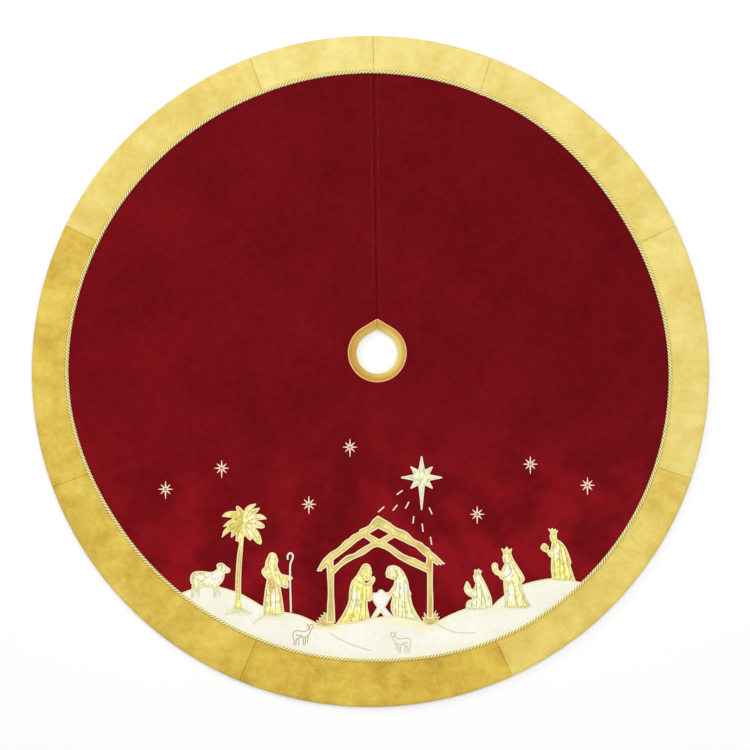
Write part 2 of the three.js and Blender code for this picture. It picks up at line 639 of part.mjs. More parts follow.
// ---------------------------------------------------------------- stars and rays
// A star with eight blunt rays: up, down and sideways, and four between them.
function starOutline(x, y, { up, down, sideways, slanting, core, tip }) {
  const reach = [sideways, slanting, up, slanting, sideways, slanting, down, slanting];
  const points = [];
  reach.forEach((length, i) => {
    const ray = new THREE.Vector2(1, 0).rotateAround(new THREE.Vector2(), radians(45 * i));
    const across = new THREE.Vector2(-ray.y, ray.x);
    const notch = ray.clone().rotateAround(new THREE.Vector2(), radians(22.5)).multiplyScalar(core);
    points.push(ray.clone().multiplyScalar(length).addScaledVector(across, -tip / 2));
    points.push(ray.clone().multiplyScalar(length).addScaledVector(across, tip / 2));
    points.push(notch);
  });
  return points.map((point) => graded([x + point.x, y + point.y]));
}
const STAR_TOP = PICTURE_Z + STAR_THICKNESS;
const GUIDING_STAR = [92.2, -191.2];
const guide = { up: 38.5, down: 58.5, sideways: 37, slanting: 27.5, core: 14.8, tip: 1.8 };
add('guiding_star', slab(starOutline(...GUIDING_STAR, guide), PICTURE_Z, STAR_TOP), whiteSatin);

const SMALL_STARS = [
  [-369.5, -212.3], [-268.3, -174.4], [-111.1, -239.4], [-37, -136.4],
  [192.4, -257.5], [288.2, -167.1], [391.2, -205.1],
];
const small = { up: 14, down: 17, sideways: 12.5, slanting: 11.5, core: 4.4, tip: 2 };
SMALL_STARS.forEach(([x, y], i) => {
  add(`small_star_${i + 1}`, slab(starOutline(x, y, small), PICTURE_Z, STAR_TOP), whiteSatin);
});

// Each ray is one short bar of satin stitch, from the end nearer the star to the far end.
const RAYS = [
  [[57.3, -215], [47.9, -221.4]],
  [[69, -235.8], [63.4, -246.1]],
  [[47.9, -241.4], [40.7, -249.9]],
  [[24, -244.5], [14.6, -252.8]],
  [[78.1, -261.8], [76.6, -273.2]],
  [[106.1, -246.1], [110.6, -256.6]],
  [[93.1, -275.2], [94.7, -288]],
  [[108.1, -299.1], [110.2, -311.5]],
];
function rayOutline(from, to) {
  const start = graded(from);
  const end = graded(to);
  const heading = end.clone().sub(start).angle();
  const half = RAY_WIDTH / 2;
  const ray = new THREE.Path();
  ray.absarc(start.x, start.y, half, heading + Math.PI / 2, heading + 1.5 * Math.PI, false);
  ray.absarc(end.x, end.y, half, heading - Math.PI / 2, heading + Math.PI / 2, false);
  return ray.getPoints(CURVE_STEPS);
}
RAYS.forEach(([from, to], i) => {
  add(`star_ray_${i + 1}`, slab(rayOutline(from, to), PICTURE_Z, STAR_TOP), whiteSatin);
});

// ---------------------------------------------------------------- embroidered lambs on the ground
// One lamb looking right, about its own middle.
const LAMB = [
  [18, 20],
  [[15, 21.5], [11, 19], [8, 12], [0, 7.5], [-12, 9], [-19.5, 6.5], [-21, -2], [-19, -8]],
  [[-19.5, -20.5]], [[-15.5, -20.5]], [[-14, -8.5]], [[-10.5, -20.5]], [[-6.5, -20.5]],
  [[-6, -9], [2, -9]],
  [[2.5, -20]], [[6, -20]], [[7.5, -8]], [[9.5, -19]], [[13, -19]],
  [[12.5, -6], [13, 1], [14, 9], [18.5, 10.5], [21, 13.5], [20.5, 17.5], [18, 20]],
];
function lambOutline(x, y, facing) {
  const place = ([px, py]) => [x + facing * px, y + py];
  const [start, ...runs] = LAMB;
  return drawn(place(start), ...runs.map((run) => run.map(place)));
}
const LAMB_Z = GROUND_TOP + CLEARANCE;
add('lamb_left', slab(lambOutline(-121.5, -475, 1), LAMB_Z, LAMB_Z + LAMB_THICKNESS), creamLame);
add('lamb_centre', slab(lambOutline(54.5, -488.5, -1), LAMB_Z, LAMB_Z + LAMB_THICKNESS), creamLame);

export default group;
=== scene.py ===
# %% [markdown]
# # A round velvet tree skirt
# The real skirt is sewn like a thin quilt. From the floor up it has a cotton lining, a layer of wadding and
# a face of red velvet. A border of nine gold velvet panels runs round it, a twisted rope hides the seam
# between the two velvets, and a gold satin strip wraps the neck hole. Last come the appliqués: figures cut
# from satin and lamé, each one edged with satin stitch.
#
# The working model already has every piece at its right place and size. So this lesson starts by loading
# it, measures what it needs, and then sews the finer pieces over it one after another.

# %% Load the working model
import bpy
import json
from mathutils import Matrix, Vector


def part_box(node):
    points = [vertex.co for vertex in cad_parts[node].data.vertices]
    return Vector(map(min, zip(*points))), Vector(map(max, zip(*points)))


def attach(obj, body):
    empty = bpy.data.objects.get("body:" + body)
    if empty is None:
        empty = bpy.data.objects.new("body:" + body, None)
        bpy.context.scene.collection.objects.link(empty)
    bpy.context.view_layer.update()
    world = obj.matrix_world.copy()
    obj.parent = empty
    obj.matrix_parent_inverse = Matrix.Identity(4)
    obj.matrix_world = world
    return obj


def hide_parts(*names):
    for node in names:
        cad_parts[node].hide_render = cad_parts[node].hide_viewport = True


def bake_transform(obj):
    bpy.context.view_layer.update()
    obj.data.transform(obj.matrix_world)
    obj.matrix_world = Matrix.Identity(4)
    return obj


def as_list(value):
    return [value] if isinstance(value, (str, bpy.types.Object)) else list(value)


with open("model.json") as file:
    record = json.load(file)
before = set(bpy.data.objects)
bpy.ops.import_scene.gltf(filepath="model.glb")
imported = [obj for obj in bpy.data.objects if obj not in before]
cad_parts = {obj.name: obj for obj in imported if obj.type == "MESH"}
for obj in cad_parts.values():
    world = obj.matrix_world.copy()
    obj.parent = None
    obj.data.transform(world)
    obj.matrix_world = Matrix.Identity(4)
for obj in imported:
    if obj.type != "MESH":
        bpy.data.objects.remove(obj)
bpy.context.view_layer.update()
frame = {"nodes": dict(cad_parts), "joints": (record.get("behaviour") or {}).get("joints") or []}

# %% Tools from Blender and Python
import json
import math

import bmesh
import bpy
import numpy as np
from mathutils import Vector
from mathutils.bvhtree import BVHTree

bpy.ops.object.select_all(action="DESELECT")
MM = 0.001
TURN = 2 * math.pi

# %% [markdown]
# ## Camera, floor and light
# The skirt is looked at from straight above, as it lies spread out on a pale floor. A long lens far away
# keeps the disc round. The light is soft: one very large lamp overhead, a weaker one from the back left so
# that the cords and edges throw a thin shadow, and a bright surrounding. The Standard view keeps cloth
# colours as they are mixed, where the default view would grey them.

# %% Camera, floor and light
VIEW_WIDTH = 1.3552
VIEW_MIDDLE = (0.00813, -0.00632)
LENS, SENSOR = 100, 36


def add_camera():
    data = bpy.data.cameras.new("overhead_camera")
    data.lens, data.sensor_width = LENS, SENSOR
    camera = bpy.data.objects.new("overhead_camera", data)
    bpy.context.collection.objects.link(camera)
    camera.location = (*VIEW_MIDDLE, VIEW_WIDTH * LENS / SENSOR)
    bpy.context.scene.camera = camera


def add_lamp(name, place, size, watts):
    data = bpy.data.lights.new(name, "AREA")
    data.size, data.energy = size, watts
    lamp = bpy.data.objects.new(name, data)
    bpy.context.collection.objects.link(lamp)
    lamp.location = place
    lamp.rotation_euler = (-Vector(place)).to_track_quat("-Z", "Y").to_euler()


def add_floor():
    bpy.ops.mesh.primitive_plane_add(size=30, location=(0, 0, -0.0005))
    floor = bpy.context.object
    floor.name = "studio_floor"
    paint = bpy.data.materials.new("pale_floor")
    paint.use_nodes = True
    paint.node_tree.nodes["Principled BSDF"].inputs["Base Color"].default_value = (0.93, 0.93, 0.93, 1)
    paint.node_tree.nodes["Principled BSDF"].inputs["Roughness"].default_value = 0.9
    floor.data.materials.append(paint)


def light_the_room(strength):
    world = bpy.data.worlds.new("studio_air")
    world.use_nodes = True
    world.node_tree.nodes["Background"].inputs["Color"].default_value = (1, 1, 1, 1)
    world.node_tree.nodes["Background"].inputs["Strength"].default_value = strength
    bpy.context.scene.world = world


add_camera()
add_lamp("soft_overhead", (0.3, 0.6, 3.2), 3.0, 62)
add_lamp("soft_side", (-2.2, 1.8, 1.6), 1.2, 16)
add_floor()
light_the_room(0.62)
bpy.context.scene.view_settings.view_transform = "Standard"
print("camera", tuple(round(v, 3) for v in bpy.context.scene.camera.location))

# %% [markdown]
# ## Measuring the working model
# What can be measured isn't typed in. The rim's half sizes, the neck hole, the two fold lines and the
# rope's line are all read from the loaded pieces. Directions are degrees clockwise from the slit, which
# lies at the back.
#
# A ring is a closed line round the skirt, such as the rim. It is kept as three things: a point for each
# direction, a test of how far a point lies beyond it, and the middle that its directions are taken from.

# %% Measure the rim, the neck hole and the rope
def toward(degrees):
    angle = np.radians(degrees)
    return np.stack([np.sin(angle), np.cos(angle)], axis=-1)


def direction(points):
    return np.degrees(np.arctan2(points[..., 0], points[..., 1]))


def corners(node):
    mesh = frame["nodes"][node].data
    spots = np.empty(len(mesh.vertices) * 3)
    mesh.vertices.foreach_get("co", spots)
    return np.unique(np.round(spots.reshape(-1, 3), 6), axis=0)


ACROSS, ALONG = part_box("lining_main")[1].x, -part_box("lining_main")[0].y
LINING_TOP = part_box("lining_main")[1].z
WADDING_LOW, WADDING_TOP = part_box("interlining_main")[0].z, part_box("interlining_main")[1].z
VELVET_LOW, VELVET_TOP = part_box("velvet_main")[0].z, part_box("velvet_main")[1].z
BORDER_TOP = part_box("border_front")[1].z
BINDING_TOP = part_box("neck_binding_main")[1].z

binding_low, binding_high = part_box("neck_binding_main")
BINDING_WIDTH = 14 * MM  # the neck strip, measured across its top
BINDING_OUTER = (binding_high.x - binding_low.x) / 2
HOLE = BINDING_OUTER - BINDING_WIDTH
NECK = np.array([(binding_low.x + binding_high.x) / 2, binding_low.y + BINDING_OUTER])
neck_tip = max(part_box(f"neck_binding_flap_{word}")[1].y for word in ("left", "right"))
POINT_SIDE = math.degrees(math.acos(BINDING_OUTER / (neck_tip - NECK[1])))


def measure_rope():
    """Directions and middle radii of the rope, where the working model has a whole section of it."""
    spots = np.concatenate([corners(f"rope_trim_{part}") for part in ("main", "flap_left", "flap_right")])
    radii = np.hypot(spots[:, 0], spots[:, 1])
    rounded = np.round(direction(spots[:, :2]) % 360, 1)
    found = [(d, radii[rounded == d]) for d in np.unique(rounded)]
    whole = [(d, (r.min() + r.max()) / 2) for d, r in found if len(r) >= 8]
    return np.array(whole).T


rope_directions, rope_radii = measure_rope()
ROPE_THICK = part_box("rope_trim_main")[1].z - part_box("rope_trim_main")[0].z
ROPE_MIDDLE = (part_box("rope_trim_main")[1].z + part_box("rope_trim_main")[0].z) / 2
print("rim", ACROSS, ALONG, "hole", round(HOLE, 4), "neck", NECK.round(4), "rope sections", len(rope_radii))


# %% Rings round the skirt
def rim_radius(degrees):
    way = toward(degrees)
    return 1 / np.hypot(way[..., 0] / ACROSS, way[..., 1] / ALONG)


def rope_radius(degrees):
    return np.interp(degrees, rope_directions, rope_radii, period=360)


def neck_shape(degrees):
    """The hole is round, with two straight sides that run to a point at the slit."""
    off = np.abs((np.asarray(degrees) + 180) % 360 - 180)
    return np.where(off < POINT_SIDE, 1 / np.cos(np.radians(POINT_SIDE - off)), 1)


def ring(radius_at, middle=(0, 0)):
    middle = np.asarray(middle)

    def at(degrees):
        return middle + radius_at(np.asarray(degrees))[..., None] * toward(degrees)

    def beyond(points):
        return np.linalg.norm(points - middle, axis=-1) - radius_at(direction(points - middle))

    return at, beyond, middle


def neck_ring(radius):
    return ring(lambda degrees: radius * neck_shape(degrees), NECK)


def rim_ring(inward=0.0):
    return ring(lambda degrees: rim_radius(degrees) - inward)


def rope_ring(outward=0.0):
    return ring(lambda degrees: rope_radius(degrees) + outward)


# %% The slit and the two folds, as straight lines
SLIT_GAP = 1.2 * MM
LAYER_GAP = 0.3 * MM  # between neighbouring layers
EDGE_GAP = 0.08 * MM  # the velvet edges bulge towards each other and nearly touch
slit_corner = max(corners("lining_flap_right"), key=lambda spot: spot[1])[:2] - [SLIT_GAP / 2, 0]
slit_way = (slit_corner - NECK) / np.linalg.norm(slit_corner - NECK)
slit_across = np.array([slit_way[1], -slit_way[0]])

LINES = {
    "slit_left": (NECK - slit_across * EDGE_GAP / 2, slit_way),
    "slit_right": (NECK + slit_across * EDGE_GAP / 2, slit_way),
}
FACING_WIDTH = 24 * MM
BINDING_GAP = 0.6 * MM  # the two ends of the neck strip stop short of each other
for word, side in (("left", -1), ("right", 1)):
    LINES[f"binding_{word}"] = (NECK + side * slit_across * BINDING_GAP / 2, slit_way)
    LINES[f"wadding_{word}"] = (NECK + side * slit_across * (FACING_WIDTH + LAYER_GAP), slit_way)
    LINES[f"facing_{word}"] = (NECK + side * slit_across * FACING_WIDTH, slit_way)
for joint in frame["joints"]:
    axis = np.array(joint["axis"][:2])
    LINES[joint["child"]] = (np.array(joint["pos_m"][:2]), axis * np.sign(axis[1]))


PAST_THE_RIM = 0.8  # metres
HALVINGS = 40  # each one halves the stretch that the crossing lies in


def where_line_meets(line, ring_wanted):
    """The direction, from the ring's own middle, of the place where a line crosses the ring."""
    start, way = LINES[line]
    at, beyond, middle = ring_wanted
    near, far = 0.0, PAST_THE_RIM
    for _ in range(HALVINGS):
        half = (near + far) / 2
        if beyond(start + half * way) < 0:
            near = half
        else:
            far = half
    return float(direction(start + near * way - middle))


print("slit", slit_way.round(4), {k: v[1].round(4) for k, v in LINES.items()})

# %% [markdown]
# ## Sewing a layer
# Every layer is a band between an inner and an outer ring. It is drawn as columns that run outwards, with
# rows across them, and it has a top and a bottom face, so it is a closed cloth with a real thickness. Near
# an edge the rows and columns come closer together, because a sewn edge rolls over within two or three
# millimetres.
#
# The cloth beside the slit folds back like two flaps. So each layer has three parts, the main part and
# one for each flap, which share their corners along the fold lines.

# %% Columns, rows and closed cloth
FOLD_LENGTH = 27 * MM
EDGE_STEPS = np.array([0.5, 1.2, 2.2, 3.6]) * MM
FOLD_STEPS = FOLD_LENGTH * np.arange(1, 13) / 11


def spread(ring_wanted, start, finish, count, fine_start=(), fine_finish=()):
    """Points along a ring from one direction to another, closer together at an end that rolls over."""
    at, _, middle = ring_wanted
    reach = [np.linalg.norm(at(d) - middle) for d in (start, finish)]
    sign = np.sign(finish - start)
    first = start + sign * np.degrees(np.asarray(fine_start) / reach[0])
    last = finish - sign * np.degrees(np.asarray(fine_finish) / reach[1])[::-1]
    inner_start = first[-1] if len(first) else start
    inner_finish = last[0] if len(last) else finish
    middle_part = np.linspace(inner_start, inner_finish, count)
    return at(np.concatenate([[start] if len(first) else [], first[:-1], middle_part, last[1:],
                              [finish] if len(last) else []]))


def between(rings, start, finish, count, fine_start=(), fine_finish=()):
    """Inner and outer points of the columns between two lines or directions."""
    ends = []
    for one in rings:
        a = where_line_meets(start, one) if isinstance(start, str) else start
        b = where_line_meets(finish, one) if isinstance(finish, str) else finish
        if b < a:
            b += 360
        ends.append(spread(one, a, b, count, fine_start, fine_finish))
    return ends


def place_rows(inner, outer, count, fine_inner=(), fine_outer=()):
    """All points of the band, and how far each lies from the inner and from the outer edge."""
    length = np.linalg.norm(outer - inner, axis=1)
    first = [np.full_like(length, d) for d in (0.0, *fine_inner)]
    last = [length - d for d in (*fine_outer[::-1], 0.0)]
    shares = np.linspace(0, 1, count + 2)[1:-1]
    middle = [first[-1] + share * (last[0] - first[-1]) for share in shares]
    out = np.array(first + middle + last)
    points = inner + (out / length)[..., None] * (outer - inner)
    return points, out, length - out


def from_column_ends(points):
    """How far each point lies from the first and from the last column."""
    first = np.linalg.norm(points - points[:, :1], axis=2)
    last = np.linalg.norm(points - points[:, -1:], axis=2)
    return first, last


def rolled(distance, width, drop):
    """How far a rolled edge has dropped, at a distance from it: a quarter round of that width."""
    share = np.clip(1 - distance / width, 0, 1)
    return drop * (1 - np.sqrt(1 - share**2))


def new_piece(name, vertices, faces, material):
    """A smooth piece. One that stands for a working piece gets that piece's name and _sewn."""
    title = f"{name}_sewn" if name in frame["nodes"] else name
    mesh = bpy.data.meshes.new(title)
    mesh.from_pydata([tuple(map(float, v)) for v in vertices], [], faces)
    mesh.validate()
    piece = bpy.data.objects.new(title, mesh)
    bpy.context.collection.objects.link(piece)
    mesh.materials.append(material)
    mesh.polygons.foreach_set("use_smooth", [True] * len(mesh.polygons))
    return piece


def grid_faces(rows, columns, offset=0, flip=False):
    faces = []
    for r in range(rows - 1):
        for c in range(columns - 1):
            a = offset + r * columns + c
            quad = (a, a + columns, a + columns + 1, a + 1)
            faces.append(quad[::-1] if flip else quad)
    return faces


def closed_cloth(name, points, top, bottom, material):
    """A cloth with a top and a bottom face over the same points, and walls all round."""
    rows, columns = points.shape[:2]
    upper = np.dstack([points, top]).reshape(-1, 3)
    lower = np.dstack([points, bottom]).reshape(-1, 3)
    n = rows * columns
    faces = grid_faces(rows, columns) + grid_faces(rows, columns, n, flip=True)
    edge = [c for c in range(columns)] + [r * columns + columns - 1 for r in range(1, rows)]
    edge += [(rows - 1) * columns + c for c in range(columns - 2, -1, -1)]
    edge += [r * columns for r in range(rows - 2, 0, -1)]
    for a, b in zip(edge, edge[1:] + edge[:1]):
        faces.append((a, b, n + b, n + a))
    piece = new_piece(name, np.vstack([upper, lower]), faces, material)
    return facing_out(piece)


def facing_out(piece):
    work = bmesh.new()
    work.from_mesh(piece.data)
    bmesh.ops.recalc_face_normals(work, faces=work.faces)
    work.to_mesh(piece.data)
    work.free()
    piece.data.set_sharp_from_angle(angle=math.radians(50))
    return piece


PARTS = {"main": ("flap_right", "flap_left"), "flap_left": ("flap_left", "slit_left"),
         "flap_right": ("slit_right", "flap_right")}
FLAPS = ("flap_left", "flap_right")
print("each layer has the parts", list(PARTS))

# %% [markdown]
# ## Small tools for cloth finishes
# A finish is a material made of nodes. The helpers below only shorten the writing: one puts a node into a
# tree and plugs in its inputs, and one turns a dye colour as a maker names it, from 0 to 255, into the
# linear numbers that the renderer works with.

# %% Helpers for materials
def dye(red, green, blue):
    part = [c / 255 for c in (red, green, blue)]
    return tuple(c / 12.92 if c <= 0.04045 else ((c + 0.055) / 1.055) ** 2.4 for c in part) + (1.0,)


def plug(tree, node, inputs):
    """Gives each input of a node a value, or plugs another node's output into it."""
    for socket, value in inputs.items():
        if isinstance(value, bpy.types.NodeSocket):
            tree.links.new(value, node.inputs[socket])
        else:
            node.inputs[socket].default_value = value


def put(tree, kind, inputs=(), **settings):
    """Adds a node and fills its inputs."""
    made = tree.nodes.new(kind if kind.startswith("NodeGroup") else "ShaderNode" + kind)
    for name, value in settings.items():
        setattr(made, name, value)
    plug(tree, made, dict(inputs))
    return made


def blend_of(tree, share, first, second):
    """A colour between two others, by a share from 0 to 1."""
    return put(tree, "Mix", {0: share, 6: first, 7: second}, data_type="RGBA").outputs[2]


def range_of(tree, value, low, high, to_low=0.0, to_high=1.0):
    return put(tree, "MapRange", {0: value, 1: low, 2: high, 3: to_low, 4: to_high}).outputs[0]


def number(tree, operation, *values):
    return put(tree, "Math", dict(enumerate(values)), operation=operation).outputs[0]


def both_of(tree, first, share, second):
    """A share of the first number, and the rest of the second one."""
    return number(tree, "MULTIPLY_ADD", first, share, number(tree, "MULTIPLY", second, 1 - share))


def place_on(tree):
    """Where a point of the piece lies, in metres."""
    return put(tree, "TexCoord").outputs["Object"]


def axes_of(tree, place):
    return put(tree, "SeparateXYZ", {0: place}).outputs


def noise(tree, place, scale, detail, roughness, distortion=0.0):
    return put(tree, "TexNoise", {"Vector": place, "Scale": scale, "Detail": detail, "Roughness": roughness,
                                  "Distortion": distortion}).outputs[0]


def new_group(name, inputs, outputs):
    group = bpy.data.node_groups.new(name, "ShaderNodeTree")
    for title, value in inputs.items():
        group.interface.new_socket(title, in_out="INPUT", socket_type="NodeSocketFloat").default_value = value
    for title in outputs:
        group.interface.new_socket(title, in_out="OUTPUT", socket_type="NodeSocketFloat")
    return group, put(group, "NodeGroupInput").outputs, put(group, "NodeGroupOutput").inputs


def use(tree, group, **inputs):
    made = tree.nodes.new("ShaderNodeGroup")
    made.node_tree = group
    plug(tree, made, {title.replace("_", " "): value for title, value in inputs.items()})
    return made.outputs


def new_finish(name):
    finish = bpy.data.materials.new(f"{name}_finish")
    finish.use_nodes = True
    tree = finish.node_tree
    return finish, tree, tree.nodes["Principled BSDF"]


def raise_surface(tree, cloth, height, strength, distance):
    bump = put(tree, "Bump", {"Height": height, "Strength": strength, "Distance": distance})
    tree.links.new(bump.outputs[0], cloth.inputs["Normal"])


# %% [markdown]
# ## Effects that several cloths share
# Four small groups hold what cloths have in common. Mottle is the cloudy light and dark of brushed pile.
# Pile is the fine grain of its cut threads. Weave is the over and under of a plain cloth. Threads is the
# row of fine ridges that satin stitch, braid and cord show, and it follows the piece's own UV map, where
# the first number runs along the thread work and the second across it, both in metres.

# %% Shared effects: mottle, pile, weave and threads
def make_mottle():
    group, given, result = new_group("mottle", {"Cloud size": 0.1, "Grain size": 0.012}, ["Share"])
    place = place_on(group)
    clouds = noise(group, place, number(group, "DIVIDE", 1.0, given["Cloud size"]), 4.0, 0.55)
    grains = noise(group, place, number(group, "DIVIDE", 1.0, given["Grain size"]), 3.0, 0.6)
    wide, fine = range_of(group, clouds, 0.3, 0.7), range_of(group, grains, 0.3, 0.7)
    group.links.new(both_of(group, fine, 0.45, wide), result["Share"])
    return group


def make_pile():
    group, given, result = new_group("pile", {"Tuft size": 0.0012}, ["Height", "Tip"])
    tufts = noise(group, place_on(group), number(group, "DIVIDE", 1.0, given["Tuft size"]), 2.0, 0.7)
    group.links.new(tufts, result["Height"])
    group.links.new(range_of(group, tufts, 0.35, 0.65), result["Tip"])
    return group


def make_weave():
    group, given, result = new_group("weave", {"Thread": 0.0008}, ["Height"])
    apart = axes_of(group, place_on(group))
    turns = number(group, "DIVIDE", math.pi, given["Thread"])
    warp, weft = [number(group, "SINE", number(group, "MULTIPLY", apart[k], turns)) for k in (0, 1)]
    over = number(group, "MULTIPLY", warp, weft)
    group.links.new(range_of(group, over, -1, 1), result["Height"])
    return group


def make_threads():
    group, given, result = new_group("threads", {"Spacing": 0.0008, "Slant": 0.0}, ["Height", "Tone"])
    place = put(group, "UVMap", uv_map="thread_run").outputs[0]
    apart = axes_of(group, place)
    leaning = number(group, "MULTIPLY_ADD", apart[1], given["Slant"], apart[0])
    turns = number(group, "DIVIDE", TURN, given["Spacing"])
    ridge = number(group, "SINE", number(group, "MULTIPLY", leaning, turns))
    group.links.new(range_of(group, ridge, -1, 1), result["Height"])
    ends = noise(group, place, 420.0, 2.0, 0.5)
    group.links.new(range_of(group, ends, 0.35, 0.65), result["Tone"])
    return group


mottle, pile, weave, threads = make_mottle(), make_pile(), make_weave(), make_threads()
print("shared effects:", [g.name for g in bpy.data.node_groups])

# %% [markdown]
# ## The cloths of the sewn body
# Red velvet drinks light, so its base is a deep red, the cut pile gives a soft sheen, and the nap shows as
# a gentle mottle. Painted light makes it a little lighter towards the front left, and painted sheen makes
# the ruffled pile lighter in patches round the picture. The gold velvet is the same cloth with more lustre.
# Each border panel was cut in its own direction and catches the light in its own way, which is painted as
# its own share of a darker shade. Lining, wadding and satin are plainer.

# %% Red velvet and gold velvet
def make_red_velvet():
    finish, tree, cloth = new_finish("red_velvet")
    cloudy = use(tree, mottle, Cloud_size=0.16, Grain_size=0.014)["Share"]
    ruffled = use(tree, mottle, Cloud_size=0.13, Grain_size=0.06)["Share"]
    tufts = use(tree, pile, Tuft_size=0.0022)
    place = axes_of(tree, place_on(tree))
    # painted light: the velvet is made lighter towards the front left and darker towards the back right
    painted_light_side = range_of(tree, number(tree, "ADD", place[0], place[1]), -0.75, 0.75, 1, 0)
    deep = blend_of(tree, cloudy, dye(76, 0, 7), dye(106, 2, 11))
    light = blend_of(tree, cloudy, dye(92, 1, 9), dye(124, 5, 14))
    nap = blend_of(tree, painted_light_side, deep, light)
    # painted sheen: the ruffled pile round the picture is made lighter in soft patches
    near_picture = range_of(tree, place[1], -0.06, -0.26)
    painted_ruffle_sheen = number(tree, "MULTIPLY", near_picture, range_of(tree, ruffled, 0.36, 0.74, 0, 0.75))
    nap = blend_of(tree, painted_ruffle_sheen, nap, dye(146, 14, 26))
    tips = number(tree, "MULTIPLY", tufts["Tip"], 0.35)
    plug(tree, cloth, {"Base Color": blend_of(tree, tips, nap, dye(128, 8, 18)),
                       "Roughness": range_of(tree, cloudy, 0, 1, 0.95, 0.8), "Specular IOR Level": 0.1,
                       "Sheen Weight": 0.05, "Sheen Roughness": 0.4, "Sheen Tint": dye(230, 60, 70)})
    raise_surface(tree, cloth, tufts["Height"], 0.35, 0.0006)
    return finish


def make_shadowed_pile():
    """Pile that the needle has pulled down shows its roots, which are darker than its tips; the dark strip
    also stands in as painted shadow round each appliqué.
    """
    finish, tree, cloth = new_finish("shadowed_pile")
    tufts = use(tree, pile, Tuft_size=0.0016)
    plug(tree, cloth, {"Base Color": blend_of(tree, tufts["Tip"], dye(44, 2, 2), dye(74, 4, 8)),
                       "Roughness": 1.0, "Specular IOR Level": 0.05})
    raise_surface(tree, cloth, tufts["Height"], 0.3, 0.0004)
    return finish


def make_gold_velvet(name, nap_shade_share):
    """nap_shade_share is painted shade: 0 for a panel whose nap throws the light back and 1 for one that
    swallows it.
    """
    finish, tree, cloth = new_finish(name)
    cloudy = use(tree, mottle, Cloud_size=0.085, Grain_size=0.022)["Share"]
    cloudy = range_of(tree, cloudy, 0.12, 0.82)
    tufts = use(tree, pile, Tuft_size=0.0018)
    # painted shade: each panel's nap is darkened by its share, for the way its nap catches the light
    low = [a + (b - a) * nap_shade_share for a, b in zip((216, 191, 96), (177, 135, 8))]
    high = [a + (b - a) * nap_shade_share for a, b in zip((232, 216, 140), (217, 185, 62))]
    nap = blend_of(tree, cloudy, dye(*low), dye(*high))
    tips = number(tree, "MULTIPLY", tufts["Tip"], 0.25)
    plug(tree, cloth, {"Base Color": blend_of(tree, tips, nap, dye(240, 222, 130)),
                       "Roughness": range_of(tree, cloudy, 0, 1, 0.8, 0.6), "Specular IOR Level": 0.25,
                       "Sheen Weight": 0.06, "Sheen Roughness": 0.35, "Sheen Tint": dye(255, 230, 140)})
    raise_surface(tree, cloth, tufts["Height"], 0.3, 0.0006)
    return finish


# %% Lining, wadding, gold satin and rope thread
def make_lining_cotton():
    finish, tree, cloth = new_finish("lining_cotton")
    cloudy = use(tree, mottle, Cloud_size=0.2, Grain_size=0.004)["Share"]
    over = use(tree, weave, Thread=0.0009)["Height"]
    tone = blend_of(tree, cloudy, dye(226, 214, 184), dye(240, 231, 206))
    # painted shade: the cotton is darkened in the pattern of its weave, for the shade between its threads
    painted_weave_shade = number(tree, "MULTIPLY", over, 0.35)
    plug(tree, cloth, {"Base Color": blend_of(tree, painted_weave_shade, tone, dye(206, 192, 158)), "Roughness": 0.9,
                       "Specular IOR Level": 0.2})
    raise_surface(tree, cloth, over, 0.5, 0.0003)
    return finish


def make_wadding():
    finish, tree, cloth = new_finish("white_wadding")
    fluff = use(tree, mottle, Cloud_size=0.03, Grain_size=0.003)["Share"]
    plug(tree, cloth, {"Base Color": blend_of(tree, fluff, dye(228, 226, 220), dye(248, 247, 243)),
                       "Roughness": 1.0})
    raise_surface(tree, cloth, fluff, 0.8, 0.002)
    return finish


def make_gold_satin():
    """The strip is cut on the bias. Painted sheen makes it lighter on its right than on its left, and painted
    shade makes it darker beside its corded edge than where it turns down into the hole."""
    finish, tree, cloth = new_finish("gold_satin")
    place = put(tree, "Mapping", {0: place_on(tree), "Location": (-NECK[0], -NECK[1], 0)}).outputs[0]
    level = put(tree, "Mapping", {0: place, "Scale": (1, 1, 0)}).outputs[0]
    from_middle = put(tree, "VectorMath", {0: level}, operation="LENGTH").outputs["Value"]
    apart = axes_of(tree, place)
    around = number(tree, "ARCTAN2", apart[0], apart[1])
    # painted sheen: the satin is lighter on one side of the hole, by the angle round the neck
    painted_sheen = number(tree, "COSINE", number(tree, "ADD", around, -1.4))
    cloudy = use(tree, mottle, Cloud_size=0.02, Grain_size=0.004)["Share"]
    light = both_of(tree, range_of(tree, painted_sheen, -1, 1), 0.7, cloudy)
    tone = blend_of(tree, light, dye(190, 142, 28), dye(236, 210, 104))
    # painted shade: the satin is darkened beside the raised cord
    painted_shade_by_cord = range_of(tree, from_middle, HOLE + 2 * MM, HOLE + 11 * MM, 0, 0.75)
    plug(tree, cloth, {"Base Color": blend_of(tree, painted_shade_by_cord, tone, dye(170, 124, 12)),
                       "Roughness": range_of(tree, cloudy, 0, 1, 0.5, 0.38), "Sheen Weight": 0.04,
                       "Specular IOR Level": 0.3})
    raise_surface(tree, cloth, use(tree, weave, Thread=0.0005)["Height"], 0.15, 0.0002)
    return finish


def make_thread(name, shade, light, spacing=0.0014, slant=0.0):
    """Thread work of any kind: fine ridges across the run with painted light on their tops and painted shade
    in their grooves, and ends with painted light caught unevenly.
    """
    finish, tree, cloth = new_finish(name)
    rows = use(tree, threads, Spacing=spacing, Slant=slant)
    # painted light and shade: the thread goes from its shade colour to its light colour by the height of its
    # ridges
    lit = both_of(tree, rows["Height"], 0.55, rows["Tone"])
    plug(tree, cloth, {"Base Color": blend_of(tree, lit, dye(*shade), dye(*light)),
                       "Roughness": range_of(tree, rows["Tone"], 0, 1, 0.57, 0.45), "Sheen Weight": 0.15})
    raise_surface(tree, cloth, rows["Height"], 0.6, 0.0003)
    return finish


